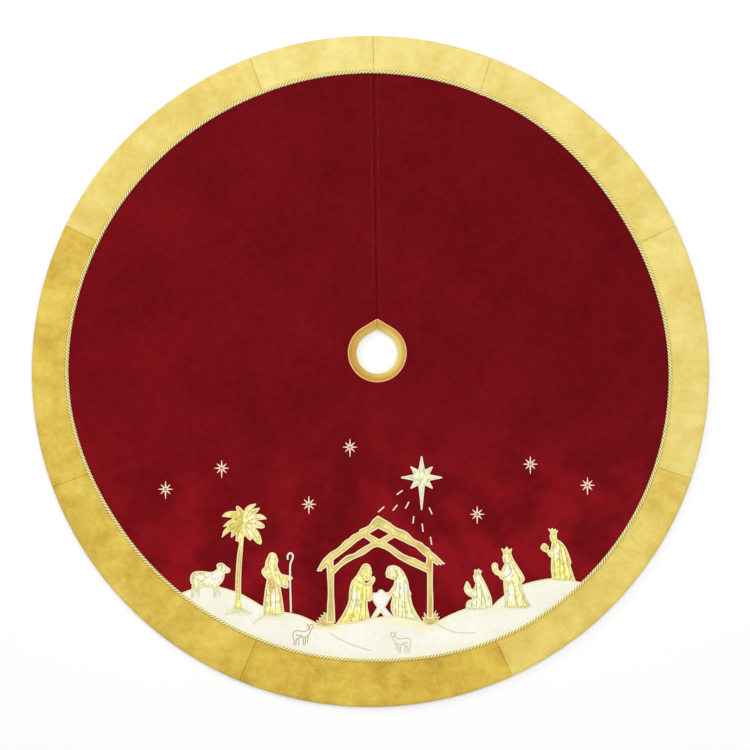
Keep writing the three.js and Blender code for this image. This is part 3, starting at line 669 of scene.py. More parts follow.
red_velvet, shadowed_pile = make_red_velvet(), make_shadowed_pile()
lining_cotton, white_wadding, gold_satin = make_lining_cotton(), make_wadding(), make_gold_satin()
rope_thread = make_thread("rope_thread", (240, 226, 132), (255, 252, 190), 0.0009, slant=0.6)
# painted shade: the core is dark olive, for the shade in the gaps between the strands
rope_gap_shade_thread = make_thread("rope_gap_shade_thread", (140, 122, 30), (186, 166, 66), 0.0009)
binding_thread = make_thread("binding_thread", (228, 150, 84), (250, 200, 140))
seam_thread = make_thread("red_seam_thread", (112, 8, 14), (168, 28, 38), 0.0007)
hem_thread = make_thread("hem_thread", (176, 140, 60), (226, 200, 130), 0.0007)
print("cloths:", [m.name for m in bpy.data.materials])

# %% [markdown]
# ## How the skirt lies
# A wadded skirt never lies dead flat: the cloth rests on the floor in shallow waves a few millimetres high.
# To get them, one plain sheet, softly waved, is let down onto a floor by a cloth simulation, and every real
# layer takes its height from that one sheet, so layers that are sewn together also move together. The sheet
# is only a pattern and isn't kept.
#
# This step doesn't work yet. The sheet is unstable: it springs up by centimetres instead of settling, and
# the cap on its height then makes nearly all of it level, 3.5 mm above the floor. So the finished skirt
# lies flat and that much too high, apart from one small dip at the left.

# %% The lie of the cloth
WAVE_HEIGHT = 2.2 * MM
PATTERN_CELLS = 44
PATTERN_SIZE = 1.32
SETTLING_FRAMES = 16
HIGHEST_LIE = 3.5 * MM  # reached nearly everywhere, because the sheet springs up past it


def soft_waves(points):
    """A gentle rise and fall, in metres, from a few long waves. It never goes below the floor."""
    x, y = points[..., 0], points[..., 1]
    waves = np.sin(9.1 * x + 3.7 * y + 0.6) + 0.8 * np.sin(-5.3 * x + 11.9 * y + 2.1)
    waves = waves + 0.6 * np.sin(17.3 * x - 8.9 * y + 4.0) + 0.4 * np.sin(21.7 * y + 6.1 * x + 1.2)
    return WAVE_HEIGHT * (waves + 2.8) / 5.6


def add_settling_sheet(heights):
    bpy.ops.mesh.primitive_grid_add(x_subdivisions=PATTERN_CELLS, y_subdivisions=PATTERN_CELLS,
                                    size=PATTERN_SIZE)
    sheet = bpy.context.object
    spots = np.column_stack([pattern_points, heights + 1.5 * MM])
    sheet.data.vertices.foreach_set("co", spots.ravel())
    bpy.ops.object.modifier_add(type="CLOTH")
    cloth = sheet.modifiers["Cloth"]
    cloth.settings.quality = 5
    cloth.settings.mass = 0.15
    cloth.settings.tension_stiffness = cloth.settings.compression_stiffness = 40
    cloth.settings.bending_stiffness = 300
    cloth.collision_settings.distance_min = 0.5 * MM
    return sheet


def settle_the_pattern(heights):
    """Meant to let the waved sheet sink onto a floor. Returns how far each corner is above the lowest one."""
    bpy.ops.mesh.primitive_plane_add(size=4)
    ground = bpy.context.object
    bpy.ops.object.modifier_add(type="COLLISION")
    ground.collision.thickness_outer = 0.5 * MM
    sheet = add_settling_sheet(heights)
    for frame_number in range(1, SETTLING_FRAMES + 1):
        bpy.context.scene.frame_set(frame_number)
    settled = sheet.evaluated_get(bpy.context.evaluated_depsgraph_get()).data
    spots = np.empty(len(settled.vertices) * 3)
    settled.vertices.foreach_get("co", spots)
    bpy.context.scene.frame_set(1)
    for spare in (sheet, ground):
        bpy.data.objects.remove(spare)
    height = spots.reshape(-1, 3)[:, 2]
    return height - height.min()


ticks = np.linspace(-PATTERN_SIZE / 2, PATTERN_SIZE / 2, PATTERN_CELLS + 1)
pattern_points = np.stack(np.meshgrid(ticks, ticks), axis=-1).reshape(-1, 2)
lie_heights = soft_waves(pattern_points)
lie_heights = np.clip(settle_the_pattern(lie_heights), 0, HIGHEST_LIE)
lie_heights = lie_heights.reshape(PATTERN_CELLS + 1, PATTERN_CELLS + 1)
print("the cloth lies up to", round(float(lie_heights.max()) / MM, 2), "mm high, on average",
      round(float(lie_heights.mean()) / MM, 2), "mm")


def lie_at(points):
    """How high the cloth lies at each point, read between the four nearest corners of the pattern sheet."""
    cell = (np.asarray(points) + PATTERN_SIZE / 2) / PATTERN_SIZE * PATTERN_CELLS
    corner = np.clip(cell.astype(int), 0, PATTERN_CELLS - 1)
    share = cell - corner
    share = share * share * (3 - 2 * share)
    column, row = corner[..., 0], corner[..., 1]
    near, far = [lie_heights[r, column] * (1 - share[..., 0]) + lie_heights[r, column + 1] * share[..., 0]
                 for r in (row, row + 1)]
    return near * (1 - share[..., 1]) + far * share[..., 1]


def lay(piece):
    """Lifts every corner of a finished piece by the rise of the cloth under it."""
    mesh = piece.data
    spots = np.empty(len(mesh.vertices) * 3)
    mesh.vertices.foreach_get("co", spots)
    spots = spots.reshape(-1, 3)
    spots[:, 2] += lie_at(spots[:, :2])
    mesh.vertices.foreach_set("co", spots.ravel())
    mesh.update()
    return piece


# %% Where a piece rides
ROPE_ROOM = ROPE_THICK / 2 + 0.2 * MM


def settle(piece, part, stands_for):
    """Lays the piece and hides what it stands for: a main part rides on its body, a flap keeps its place."""
    lay(piece)
    if part in FLAPS:
        start, way = LINES[part]
        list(start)
        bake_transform(piece)
    else:
        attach(piece, "root")
    if stands_for:
        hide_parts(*stands_for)
    return piece


# %% [markdown]
# ## Lining and wadding
# These are the layers nobody sees from above. The lining is one cotton disc that covers the whole
# underside, and its edge rolls up a little at the rim, where it is sewn to the border. The wadding is a
# soft blanket that stops short of the rim and of the slit, where the facings take its place.

# %% Lining and wadding
COLUMNS = {"main": 260, "flap_left": 22, "flap_right": 22}
LINING_ROWS, WADDING_ROWS, VELVET_ROWS = 44, 30, 56
WADDING_SHORT = 3.2 * MM  # the wadding stops this far inside the rim
UNDER_BINDING = 1.3 * MM  # the inner layers stop this far from the hole, inside the neck strip
RIM_ROLL, SLIT_ROLL, SEAM_ROLL = 3.6 * MM, 2.4 * MM, 3 * MM  # how wide an edge rolls over
SEAM_DROP = 1.1 * MM


def part_columns(rings, part, lines, at_slit=()):
    """The columns of one part between its two lines. A flap's columns lie close together where it bends, and
    at the same places in every layer, so that no layer shows through the next one in a folded flap."""
    fine = [FOLD_STEPS if line in FLAPS and part in FLAPS else at_slit if line.startswith("slit") else ()
            for line in lines]
    return between(rings, *lines, COLUMNS[part], *fine)


def from_slit(points, part):
    first, last = from_column_ends(points)
    return {"main": np.full_like(first, 1.0), "flap_left": last, "flap_right": first}[part]


def sew_lining(part):
    rings = [neck_ring(BINDING_OUTER + LAYER_GAP), rim_ring()]
    inner, outer = part_columns(rings, part, PARTS[part], EDGE_STEPS)
    points, _, to_rim = place_rows(inner, outer, LINING_ROWS, (), EDGE_STEPS)
    lift = rolled(to_rim, RIM_ROLL, 0.7 * MM)
    thickness = LINING_TOP - rolled(to_rim, RIM_ROLL, 0.3 * MM)
    slit_lift = rolled(from_slit(points, part), SLIT_ROLL, 0.4 * MM)
    lift, thickness = lift + slit_lift, thickness - slit_lift
    piece = closed_cloth(f"lining_{part}", points, lift + thickness, lift, lining_cotton)
    return settle(piece, part, [f"lining_{part}"]), points


def sew_wadding(part):
    rings = [neck_ring(HOLE + UNDER_BINDING), rim_ring(WADDING_SHORT)]
    inner, outer = part_columns(rings, part, [line.replace("slit", "wadding") for line in PARTS[part]])
    points, _, to_rim = place_rows(inner, outer, WADDING_ROWS, (), EDGE_STEPS)
    top = WADDING_TOP - rolled(to_rim, RIM_ROLL, 0.9 * MM)
    piece = closed_cloth(f"interlining_{part}", points, top, np.full_like(top, WADDING_LOW), white_wadding)
    return settle(piece, part, [f"interlining_{part}"]), points


linings = {part: sew_lining(part) for part in PARTS}
waddings = {part: sew_wadding(part) for part in PARTS}
print("lining and wadding:", [len(p.data.polygons) for p, _ in (*linings.values(), *waddings.values())])

# %% [markdown]
# ## The velvet field, the slit and its facings
# The red disc is cut with the nap running one way. Along the slit both velvet edges turn down over a strip
# of facing, which is why the slit shows as one thin dark line between two rounded edges. At the neck the
# velvet runs under the gold strip, and at the rim under the rope, so its edge dips there. Six millimetres
# from the slit a row of machine stitches pulls the velvet down into a shallow furrow.

# %% Velvet field and facings
SLIT_STEPS = np.array([0.5, 1.2, 2.2, 3.6, 4.8, 5.5, 6.0, 6.5, 7.2, 8.6]) * MM
FURROW = 6 * MM
FURROW_DEPTH, FURROW_WIDTH = 1.1 * MM, 0.9 * MM


def sew_velvet(part):
    rings = [neck_ring(HOLE + UNDER_BINDING), rope_ring(-ROPE_ROOM)]
    inner, outer = part_columns(rings, part, PARTS[part], SLIT_STEPS)
    points, _, to_rope = place_rows(inner, outer, VELVET_ROWS, (), EDGE_STEPS)
    to_slit = from_slit(points, part)
    furrow = FURROW_DEPTH * np.exp(-((to_slit - FURROW) / FURROW_WIDTH) ** 2)
    dip = rolled(to_rope, SEAM_ROLL, SEAM_DROP) + rolled(to_slit, SLIT_ROLL, 1.4 * MM) + furrow
    top = VELVET_TOP - dip
    bottom = np.minimum(VELVET_LOW, top - 0.5 * MM)
    piece = closed_cloth(f"velvet_{part}", points, top, bottom, red_velvet)
    return settle(piece, part, [f"velvet_{part}"]), points


def sew_facing(part):
    word = part.split("_")[1]
    rings = [neck_ring(HOLE + UNDER_BINDING), rim_ring(WADDING_SHORT)]
    lines = ("facing_left", "slit_left") if word == "left" else ("slit_right", "facing_right")
    inner, outer = between(rings, *lines, 4)
    points, _, _ = place_rows(inner, outer, VELVET_ROWS)
    top = np.full(points.shape[:2], WADDING_TOP)
    piece = closed_cloth(f"slit_facing_{word}", points, top, np.full_like(top, WADDING_LOW), red_velvet)
    return settle(piece, part, [f"slit_facing_{word}"]), points


velvets = {part: sew_velvet(part) for part in PARTS}
facings = {part: sew_facing(part) for part in FLAPS}
print("velvet:", [len(p.data.polygons) for p, _ in velvets.values()])

# %% [markdown]
# ## The gold border
# Nine curved panels make the border. Each one is a sheet that is sewn down on four sides, so the wadding
# puffs it up in the middle and its edges roll down into the seams. At the rim it turns under and meets the
# lining. Six of the seams between panels run towards the middle of the skirt, and two lie on the fold
# lines.

# %% Border panels
PANELS = {  # name: first line or direction, last line or direction, share of painted darker shade
    "border_slit_right": ("slit_right", "flap_right", 0.0),
    "border_back_right": ("flap_right", 64.5, 0.12),
    "border_side_right": (64.5, 108.5, 0.15),
    "border_front_right": (108.5, 155.0, 0.45),
    "border_front": (155.0, 203.0, 1.0),
    "border_front_left": (203.0, 250.0, 0.8),
    "border_side_left": (250.0, 295.5, 0.8),
    "border_back_left": (295.5, "flap_left", 0.25),
    "border_slit_left": ("flap_left", "slit_left", 0.0),
}
SEAM_STEPS = np.array([0.4, 1.0, 2.0, 3.6, 6]) * MM
PANEL_COLUMNS = (23, 49)  # in a panel beside the slit, and in a long one
PANEL_ROWS = 9
PUFF, PUFF_REACH = 1.5 * MM, 9 * MM
PANEL_ROLL, PANEL_DROP = 2.2 * MM, 1.5 * MM
TURN_UNDER = 4.2 * MM


def part_of_panel(name):
    return {"border_slit_left": "flap_left", "border_slit_right": "flap_right"}.get(name, "main")


def sew_panel(name, start, finish, nap_shade_share):
    rings = [rope_ring(ROPE_ROOM), rim_ring(0.2 * MM)]
    part = part_of_panel(name)
    bending = np.concatenate([SEAM_STEPS, FOLD_STEPS[FOLD_STEPS > SEAM_STEPS[-1] + 1 * MM]])
    fine = [bending if line == part else SEAM_STEPS for line in (start, finish)]
    inner, outer = between(rings, start, finish, PANEL_COLUMNS[part == "main"], *fine)
    points, to_rope, to_rim = place_rows(inner, outer, PANEL_ROWS, SEAM_STEPS, SEAM_STEPS)
    first, last = from_column_ends(points)
    nearest = np.minimum(np.minimum(to_rope, to_rim), np.minimum(first, last))
    puff = PUFF * (1 - np.exp(-nearest / PUFF_REACH))
    dip = rolled(to_rope, SEAM_ROLL, SEAM_DROP) + rolled(np.minimum(first, last), PANEL_ROLL, PANEL_DROP)
    turn_under = rolled(to_rim, TURN_UNDER, BORDER_TOP - WADDING_LOW - 0.6 * MM)
    top = BORDER_TOP + puff - np.maximum(dip, turn_under)
    bottom = np.maximum(WADDING_LOW + 0.2 * MM, np.minimum(VELVET_LOW, top - 1.2 * MM))
    bottom = np.minimum(bottom, top - 0.4 * MM)
    finish_cloth = make_gold_velvet(f"gold_velvet_{name[7:]}", nap_shade_share)
    piece = closed_cloth(name, points, top, bottom, finish_cloth)
    return settle(piece, part, [name]), points


panels = {name: sew_panel(name, *facts) for name, facts in PANELS.items()}
print("panels:", {n: len(p.data.polygons) for n, (p, _) in panels.items()})

# %% [markdown]
# ## The rope trim
# The rope is two pale strands wound round a core, which shows in the gaps between them; the core is dyed
# dark as painted shade for those gaps. Each strand is a round tube whose middle line runs along the seam and
# turns round it, half a turn apart from the other one. Modelling the strands themselves, instead of a smooth
# ring with stripes, gives the rope its lumpy edge and real shadows.

# %% Rope trim
STRANDS = 2
LAY_LENGTH = 12.4 * MM
STRAND_RADIUS = 1.45 * MM
STRAND_PROUD = 0.7 * MM  # how far the strands stand out past the working model's rope
STRAND_OFFSET = ROPE_THICK / 2 + STRAND_PROUD - STRAND_RADIUS
CORE_RADIUS = 2.2 * MM
STRAND_STEP, CORE_STEP = 1.25 * MM, 5 * MM
TUBE_SIDES = 8
UP = np.array([0, 0, 1.0])


def tube_faces(steps, sides, offset):
    faces = []
    for i in range(steps - 1):
        for j in range(sides):
            a, b = offset + i * sides + j, offset + i * sides + (j + 1) % sides
            faces.append((a, b, b + sides, a + sides))
    faces.append(tuple(range(offset + sides - 1, offset - 1, -1)))
    faces.append(tuple(offset + (steps - 1) * sides + j for j in range(sides)))
    return faces


def run_map(piece, along, across):
    """Writes the thread_run UV map: how far along and across the thread work each corner lies, in metres."""
    mesh = piece.data
    layer = mesh.uv_layers.new(name="thread_run")
    index = np.empty(len(mesh.loops), int)
    mesh.loops.foreach_get("vertex_index", index)
    layer.data.foreach_set("uv", np.stack([along[index], across[index]], axis=1).ravel())
    return piece


def tubes(name, lines, radius, material):
    """Round tubes along several lines of points that run about level."""
    vertices, faces, along, across = [], [], [], []
    turn = np.arange(TUBE_SIDES) / TUBE_SIDES * TURN
    for line in lines:
        tangent = np.gradient(line, axis=0)
        tangent /= np.linalg.norm(tangent, axis=1)[:, None]
        side = np.cross(tangent, UP)
        side /= np.linalg.norm(side, axis=1)[:, None]
        over = np.cross(side, tangent)
        ring_of = line[:, None] + radius * (np.cos(turn)[None, :, None] * side[:, None] +
                                            np.sin(turn)[None, :, None] * over[:, None])
        faces += tube_faces(len(line), TUBE_SIDES, len(vertices) * TUBE_SIDES)
        vertices += list(ring_of)
        run = np.concatenate([[0], np.cumsum(np.linalg.norm(np.diff(line, axis=0), axis=1))])
        along += list(np.repeat(run[:, None], TUBE_SIDES, axis=1))
        across += list(np.tile(radius * turn, (len(line), 1)))
    piece = new_piece(name, np.concatenate(vertices), faces, material)
    run_map(piece, np.concatenate(along), np.concatenate(across))
    return facing_out(piece)


def seam_line(start, finish, step):
    """The rope's middle line between two directions, and the length along the whole seam at each point."""
    fine = np.linspace(0, 360, 7201)
    track = rope_ring()[0](fine)
    length = np.concatenate([[0], np.cumsum(np.linalg.norm(np.diff(track, axis=0), axis=1))])
    a, b = np.interp([start, finish], fine, length)
    run = np.linspace(a, b, int((b - a) / step) + 1)
    degrees = np.interp(run, length, fine)
    return rope_ring()[0](degrees), degrees, run


def rope_run(part, step):
    """The rope's middle line, its directions and the length along it, for one part of the skirt."""
    start, finish = (where_line_meets(line, rope_ring()) % 360 for line in PARTS[part])
    if finish < start:
        finish += 360
    stretches = [(start, finish)] if finish <= 360 else [(start, 360), (0, finish - 360)]
    return (np.concatenate(v) for v in zip(*(seam_line(a, b, step) for a, b in stretches)))


def at_height(places, height):
    return np.column_stack([places, np.full(len(places), height)])


def lay_rope(part):
    places, degrees, run = rope_run(part, STRAND_STEP)
    outward = at_height(toward(degrees), 0.0)
    middle_line = at_height(places, ROPE_MIDDLE)
    lines = []
    for k in range(STRANDS):
        angle = -TURN * (run / LAY_LENGTH + k / STRANDS)[:, None]
        lines.append(middle_line + STRAND_OFFSET * (np.cos(angle) * outward + np.sin(angle) * UP))
    strands = tubes(f"rope_trim_{part}", lines, STRAND_RADIUS, rope_thread)
    # painted shade: the dark core tube shows in the gaps as the shade between the strands
    core_line = at_height(next(rope_run(part, CORE_STEP)), ROPE_MIDDLE)
    core = tubes(f"rope_core_{part}", [core_line], CORE_RADIUS, rope_gap_shade_thread)
    settle(core, part, [])
    return settle(strands, part, [f"rope_trim_{part}"]), core


ropes = {part: lay_rope(part) for part in PARTS}
print("rope:", [len(p.data.polygons) for pair in ropes.values() for p in pair])

# %% [markdown]
# ## The neck binding
# A strip of gold satin is cut on the bias, so it can follow the round hole, and folded over the raw edges
# of all the layers. Its section is a U on its side: it lies on top, turns through the hole, and lies
# underneath. The top face is slightly padded, and a corded edge runs along its outer side.

# %% Neck binding
BINDING_SECTION = np.array([  # distance from the hole's edge and height, once round the U
    (13.9, 5.3), (12.6, 5.9), (9.5, 6.7), (6.0, 6.95), (3.0, 6.75), (1.2, 6.2), (0.3, 5.2), (0.0, 3.9),
    (0.0, 2.2), (0.3, 1.1), (1.2, 0.3), (3.0, 0.05), (8.0, 0.0), (13.9, 0.05), (13.9, 0.75), (8.0, 0.8),
    (1.6, 0.9), (1.1, 1.6), (1.1, 4.4), (1.6, 5.1), (8.0, 5.3), (13.6, 5.2)]) * MM
CORD_RADIUS = 1.35 * MM
BINDING_COLUMNS = {"main": 90, "flap_left": 40, "flap_right": 40}
CORD_COLUMNS = {"main": 160, "flap_left": 60, "flap_right": 60}


def along_neck(part, radius, height, count):
    """A line round the neck hole, between the two ends of one part of the strip."""
    start, finish = (line.replace("slit", "binding") for line in PARTS[part])
    return at_height(between([neck_ring(radius)], start, finish, count)[0], height)


def sew_binding(part):
    grid = np.array([along_neck(part, HOLE + away, height, BINDING_COLUMNS[part])
                     for away, height in BINDING_SECTION])
    around, steps = grid.shape[:2]
    faces = []
    for i in range(around):
        for c in range(steps - 1):
            a, b = i * steps + c, (i + 1) % around * steps + c
            faces.append((a, b, b + 1, a + 1))
    faces.append(tuple(i * steps for i in range(around)))
    faces.append(tuple(i * steps + steps - 1 for i in range(around))[::-1])
    piece = facing_out(new_piece(f"neck_binding_{part}", grid.reshape(-1, 3), faces, gold_satin))
    return settle(piece, part, [f"neck_binding_{part}"])


def sew_binding_cord(part):
    """The corded line along the strip's outer side, in peach thread."""
    line = along_neck(part, BINDING_OUTER - 0.5 * MM, VELVET_TOP + CORD_RADIUS * 0.7, CORD_COLUMNS[part])
    cord = tubes(f"binding_cord_{part}", [line], CORD_RADIUS, binding_thread)
    return settle(cord, part, [])


bindings = {part: sew_binding(part) for part in PARTS}
binding_cords = {part: sew_binding_cord(part) for part in PARTS}
print("binding:", [len(p.data.polygons) for p in (*bindings.values(), *binding_cords.values())])

# %% [markdown]
# ## Cutting an appliqué
# A maker draws each figure on its cloth, cuts it out, lays it on the velvet and covers the cut edge with
# satin stitch: threads that lie side by side across the edge and pile up into a round raised line. The same
# steps are taken here. The outline comes from the working model's top face. It is smoothed between its
# sharp corners, the cloth inside it is cut into a fine net, and the net is laid over whatever is below, so
# it steps up where one cloth crosses another.

# %% Outlines of the working pieces
SHARP_CORNER = 38  # degrees


def top_outlines(node):
    """The closed outlines of a piece's top face, the longest one first."""
    work = bmesh.new()
    work.from_mesh(frame["nodes"][node].data)
    bmesh.ops.remove_doubles(work, verts=work.verts, dist=2e-6)
    top = max(v.co.z for v in work.verts)
    flat = {f for f in work.faces if f.normal.z > 0.9 and all(v.co.z > top - 1e-5 for v in f.verts)}
    follow = {}
    for face in flat:
        for loop in face.loops:
            if sum(f in flat for f in loop.edge.link_faces) == 1:
                follow[loop.vert] = loop.link_loop_next.vert
    outlines = []
    while follow:
        start = next(iter(follow))
        line, here = [], start
        while here in follow:
            line.append(tuple(here.co.xy))
            here = follow.pop(here)
        outlines.append(np.array(line))
    work.free()
    return sorted(outlines, key=lambda line: -len_round(line))


def len_round(line):
    return np.linalg.norm(line - np.roll(line, 1, axis=0), axis=1).sum()


def smooth_run(points, step):
    """A smooth curve through a run of points, which keeps its two ends."""
    if len(points) < 3:
        slope = np.tile(points[-1] - points[0], (len(points), 1))
    else:
        slope = np.gradient(points, axis=0)
        slope[0], slope[-1] = points[1] - points[0], points[-1] - points[-2]
    out = []
    for a, b, sa, sb in zip(points, points[1:], slope, slope[1:]):
        long = np.linalg.norm(b - a)
        reach = [s / max(np.linalg.norm(s), 1e-9) * long for s in (sa, sb)]
        t = np.linspace(0, 1, max(1, round(long / step)) + 1)[:-1, None]
        out.append((2 * t**3 - 3 * t**2 + 1) * a + (t**3 - 2 * t**2 + t) * reach[0]
                   + (3 * t**2 - 2 * t**3) * b + (t**3 - t**2) * reach[1])
    return np.concatenate([*out, points[-1:]])


def smooth_outline(line, step):
    """The outline with its curves made smooth, and every sharp corner kept."""
    into = line - np.roll(line, 1, axis=0)
    out = np.roll(line, -1, axis=0) - line
    across = into[:, 0] * out[:, 1] - into[:, 1] * out[:, 0]
    bend = np.degrees(np.abs(np.arctan2(across, (into * out).sum(1))))
    keep = list(np.where(bend > SHARP_CORNER)[0]) or [0]
    runs = []
    for a, b in zip(keep, keep[1:] + [keep[0] + len(line)]):
        runs.append(smooth_run(line[np.arange(a, b + 1) % len(line)], step)[:-1])
    return np.concatenate(runs)


def even_steps(line, step, closed=True):
    """The same line with points the same distance apart."""
    track = np.vstack([line, line[:1]]) if closed else line
    run = np.concatenate([[0], np.cumsum(np.linalg.norm(np.diff(track, axis=0), axis=1))])
    count = max(3, int(round(run[-1] / step)))
    spots = np.linspace(0, run[-1], count + 1)[:-1] if closed else np.linspace(0, run[-1], count + 1)
    return np.column_stack([np.interp(spots, run, track[:, k]) for k in range(track.shape[1])])


def to_the_left(line, closed):
    """For each point, the way that lies to the left of the line there, one metre long."""
    if closed:
        way = np.roll(line, -1, axis=0) - np.roll(line, 1, axis=0)
    else:
        way = np.gradient(line, axis=0)
    way /= np.maximum(np.linalg.norm(way, axis=1), 1e-9)[:, None]
    return np.column_stack([-way[:, 1], way[:, 0]])


def moved_in(line, distance, closed=True):
    """The line moved to its left by a distance, which is inwards for an outline that runs anticlockwise."""
    return line + distance * to_the_left(line, closed)


# %% What lies below, and how far the nearest edge is
class Below:
    """The top surface of the pieces sewn on so far."""

    def __init__(self, *pieces):
        spots, faces = [], []
        for piece in pieces:
            start = sum(len(s) for s in spots)
            spots.append([v.co.copy() for v in piece.data.vertices])
            faces += [[start + i for i in face.vertices] for face in piece.data.polygons]
        self.tree = BVHTree.FromPolygons([v for part in spots for v in part], faces)

    def height(self, points):
        found = []
        for x, y in points:
            hit = self.tree.ray_cast(Vector((x, y, 0.1)), Vector((0, 0, -1)))[0]
            found.append(hit.z if hit else found[-1] if found else VELVET_TOP)
        return np.array(found)


def edge_distance(points, outlines):
    """How far each point lies from the nearest outline."""
    nearest = np.full(len(points), 1.0)
    for line in outlines:
        a, b = line, np.roll(line, -1, axis=0)
        way = b - a
        long = np.maximum((way**2).sum(1), 1e-12)
        for i in range(0, len(points), 2000):
            part = points[i:i + 2000]
            t = np.clip(((part[:, None] - a) * way).sum(2) / long, 0, 1)
            gap = np.linalg.norm(part[:, None] - (a + t[..., None] * way), axis=2).min(1)
            nearest[i:i + 2000] = np.minimum(nearest[i:i + 2000], gap)
    return nearest


# %% A patch of cloth and a line of satin stitch
def sewn_down(piece, slot_name, *stands_for):
    """Lets a piece of the picture ride with the main part."""
    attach(piece, "root")
    if stands_for:
        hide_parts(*stands_for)
    return piece


def cut_net(outlines, cell):
    """The cloth inside the outlines, as a net of small faces."""
    work = bmesh.new()
    edges = []
    for line in outlines:
        spots = [work.verts.new((x, y, 0)) for x, y in line]
        edges += [work.edges.new((a, b)) for a, b in zip(spots, spots[1:] + spots[:1])]
    bmesh.ops.triangle_fill(work, use_beauty=True, edges=edges, normal=(0, 0, 1))
    low_corner, high_corner = outlines[0].min(0), outlines[0].max(0)
    for axis in (0, 1):
        normal = [0, 0, 0]
        normal[axis] = 1
        for place in np.arange(math.ceil(low_corner[axis] / cell) * cell, high_corner[axis], cell):
            spot = [0, 0, 0]
            spot[axis] = place
            everything = work.verts[:] + work.edges[:] + work.faces[:]
            bmesh.ops.bisect_plane(work, geom=everything, dist=1e-7, plane_co=spot, plane_no=normal)
    work.verts.ensure_lookup_table()
    work.verts.index_update()
    points = np.array([v.co.xy for v in work.verts])
    faces = [[v.index for v in face.verts] for face in work.faces]
    work.free()
    return points, faces


def closed_patch(name, points, faces, top, bottom, material):
    """A patch with a top and a bottom face, and a wall round each of its outlines."""
    n = len(points)
    sides = dict.fromkeys(side for face in faces for side in zip(face, face[1:] + face[:1]))
    walls = [(b, a, n + a, n + b) for a, b in sides if (b, a) not in sides]
    lower = [[n + i for i in face[::-1]] for face in faces]
    spots = np.vstack([np.column_stack([points, top]), np.column_stack([points, bottom])])
    return facing_out(new_piece(name, spots, faces + lower + walls, material))


THREAD_STEP = 0.7 * MM
THREAD_RELIEF = 0.09  # every second thread stands this share higher, and the others this share lower
ROOT_DEPTH = 0.5 * MM


def stitched(name, lines, below, stitch, thread, slot_name, closed=True, ends=False, taper=None):
    """Satin stitch along flat lines, which rides with the main part: a round raised bar whose threads stand
    out one by one. stitch is its half width and rise. A bar that tapers ends at that share of its width."""
    half_width, rise = stitch
    arc = np.linspace(0, math.pi, 7)
    section = np.column_stack([np.cos(arc) * half_width, np.sin(arc) * rise])
    section = np.vstack([section, [[-half_width * 0.8, -ROOT_DEPTH], [half_width * 0.8, -ROOT_DEPTH]]])
    sides = len(section)
    vertices, faces, along, across = [], [], [], []
    for line in lines:
        track = even_steps(line, THREAD_STEP, closed)
        count = len(track)
        side = to_the_left(track, closed)
        width = np.ones(count)
        if ends and not closed:
            run = np.minimum(np.arange(count), np.arange(count)[::-1]) * THREAD_STEP
            width = np.sqrt(np.clip(1 - (1 - np.clip(run / half_width, 0, 1)) ** 2, 0.04, 1))
        if taper:
            width = width * np.linspace(1, taper, count)
        relief = 1 + THREAD_RELIEF * np.where(np.arange(count) % 2, 1, -1)
        spots = track[:, None] + section[None, :, :1] * (side * width[:, None])[:, None]
        heights = below.height(track)[:, None] + section[None, :, 1] * (relief * width)[:, None]
        start = sum(len(v) for v in vertices)
        vertices.append(np.dstack([spots, heights]).reshape(-1, 3))
        for i in range(count if closed else count - 1):
            for j in range(sides):
                a, b = start + i * sides + j, start + i * sides + (j + 1) % sides
                c, d = start + (i + 1) % count * sides + j, start + (i + 1) % count * sides + (j + 1) % sides
                faces.append((a, b, d, c))
        if not closed:
            faces.append(tuple(start + j for j in range(sides))[::-1])
            faces.append(tuple(start + (count - 1) * sides + j for j in range(sides)))
        along.append(np.repeat(np.arange(count) * THREAD_STEP, sides))
        across.append(np.tile(np.concatenate([arc * half_width, [0, 0]]), count))
    piece = new_piece(name, np.vstack(vertices), faces, thread)
    run_map(piece, np.concatenate(along), np.concatenate(across))
    facing_out(piece)
    return sewn_down(piece, slot_name)


# %% [markdown]
# ## Cloths and threads of the picture
# The figures are cut from lamé, a thin cloth with metal threads, printed in upright streaks of cream, pale
# yellow and olive. So one streaky finish is made by a function, and each figure gets its own three tones.
# Satin stitch is plain thread work in cream, pink or peach, and narrow lines are sewn in green or olive.

# %% Lamé, satin and threads
def spot_tones(tree, place, wavy, tone, spots):
    """Lays ovals of other tones over a tone: each has its middle and half sizes in mm, and its dye."""
    for x, y, half_x, half_y, colour in spots:
        scale = (1000 / half_x, 1000 / half_y, 0)
        moved = put(tree, "Mapping", {0: place, "Location": (-x / half_x, -y / half_y, 0), "Scale": scale})
        away = put(tree, "VectorMath", {0: moved.outputs[0]}, operation="LENGTH").outputs["Value"]
        soft = number(tree, "ADD", away, number(tree, "MULTIPLY_ADD", wavy, 0.8, -0.4))
        tone = blend_of(tree, range_of(tree, soft, 0.5, 1.2, 1, 0), tone, dye(*colour))
    return tone


def make_crinkle():
    """Flecks of crumpled metal thread, taller than they are wide: the finishes paint the dark ones in the
    olive of the print and the light ones as painted glints.
    """
    group, given, result = new_group("crinkle", {"Fleck size": 0.003}, ["Height"])
    tall = put(group, "Mapping", {0: place_on(group), "Scale": (1, 0.55, 1)}).outputs[0]
    flecks = noise(group, tall, number(group, "DIVIDE", 1.0, given["Fleck size"]), 3.0, 0.65, 0.4)
    group.links.new(flecks, result["Height"])
    return group


def from_cut_edge(tree):
    """How far a point of a patch lies from its cut edge, in metres."""
    return axes_of(tree, put(tree, "UVMap", uv_map="from_edge").outputs[0])[0]


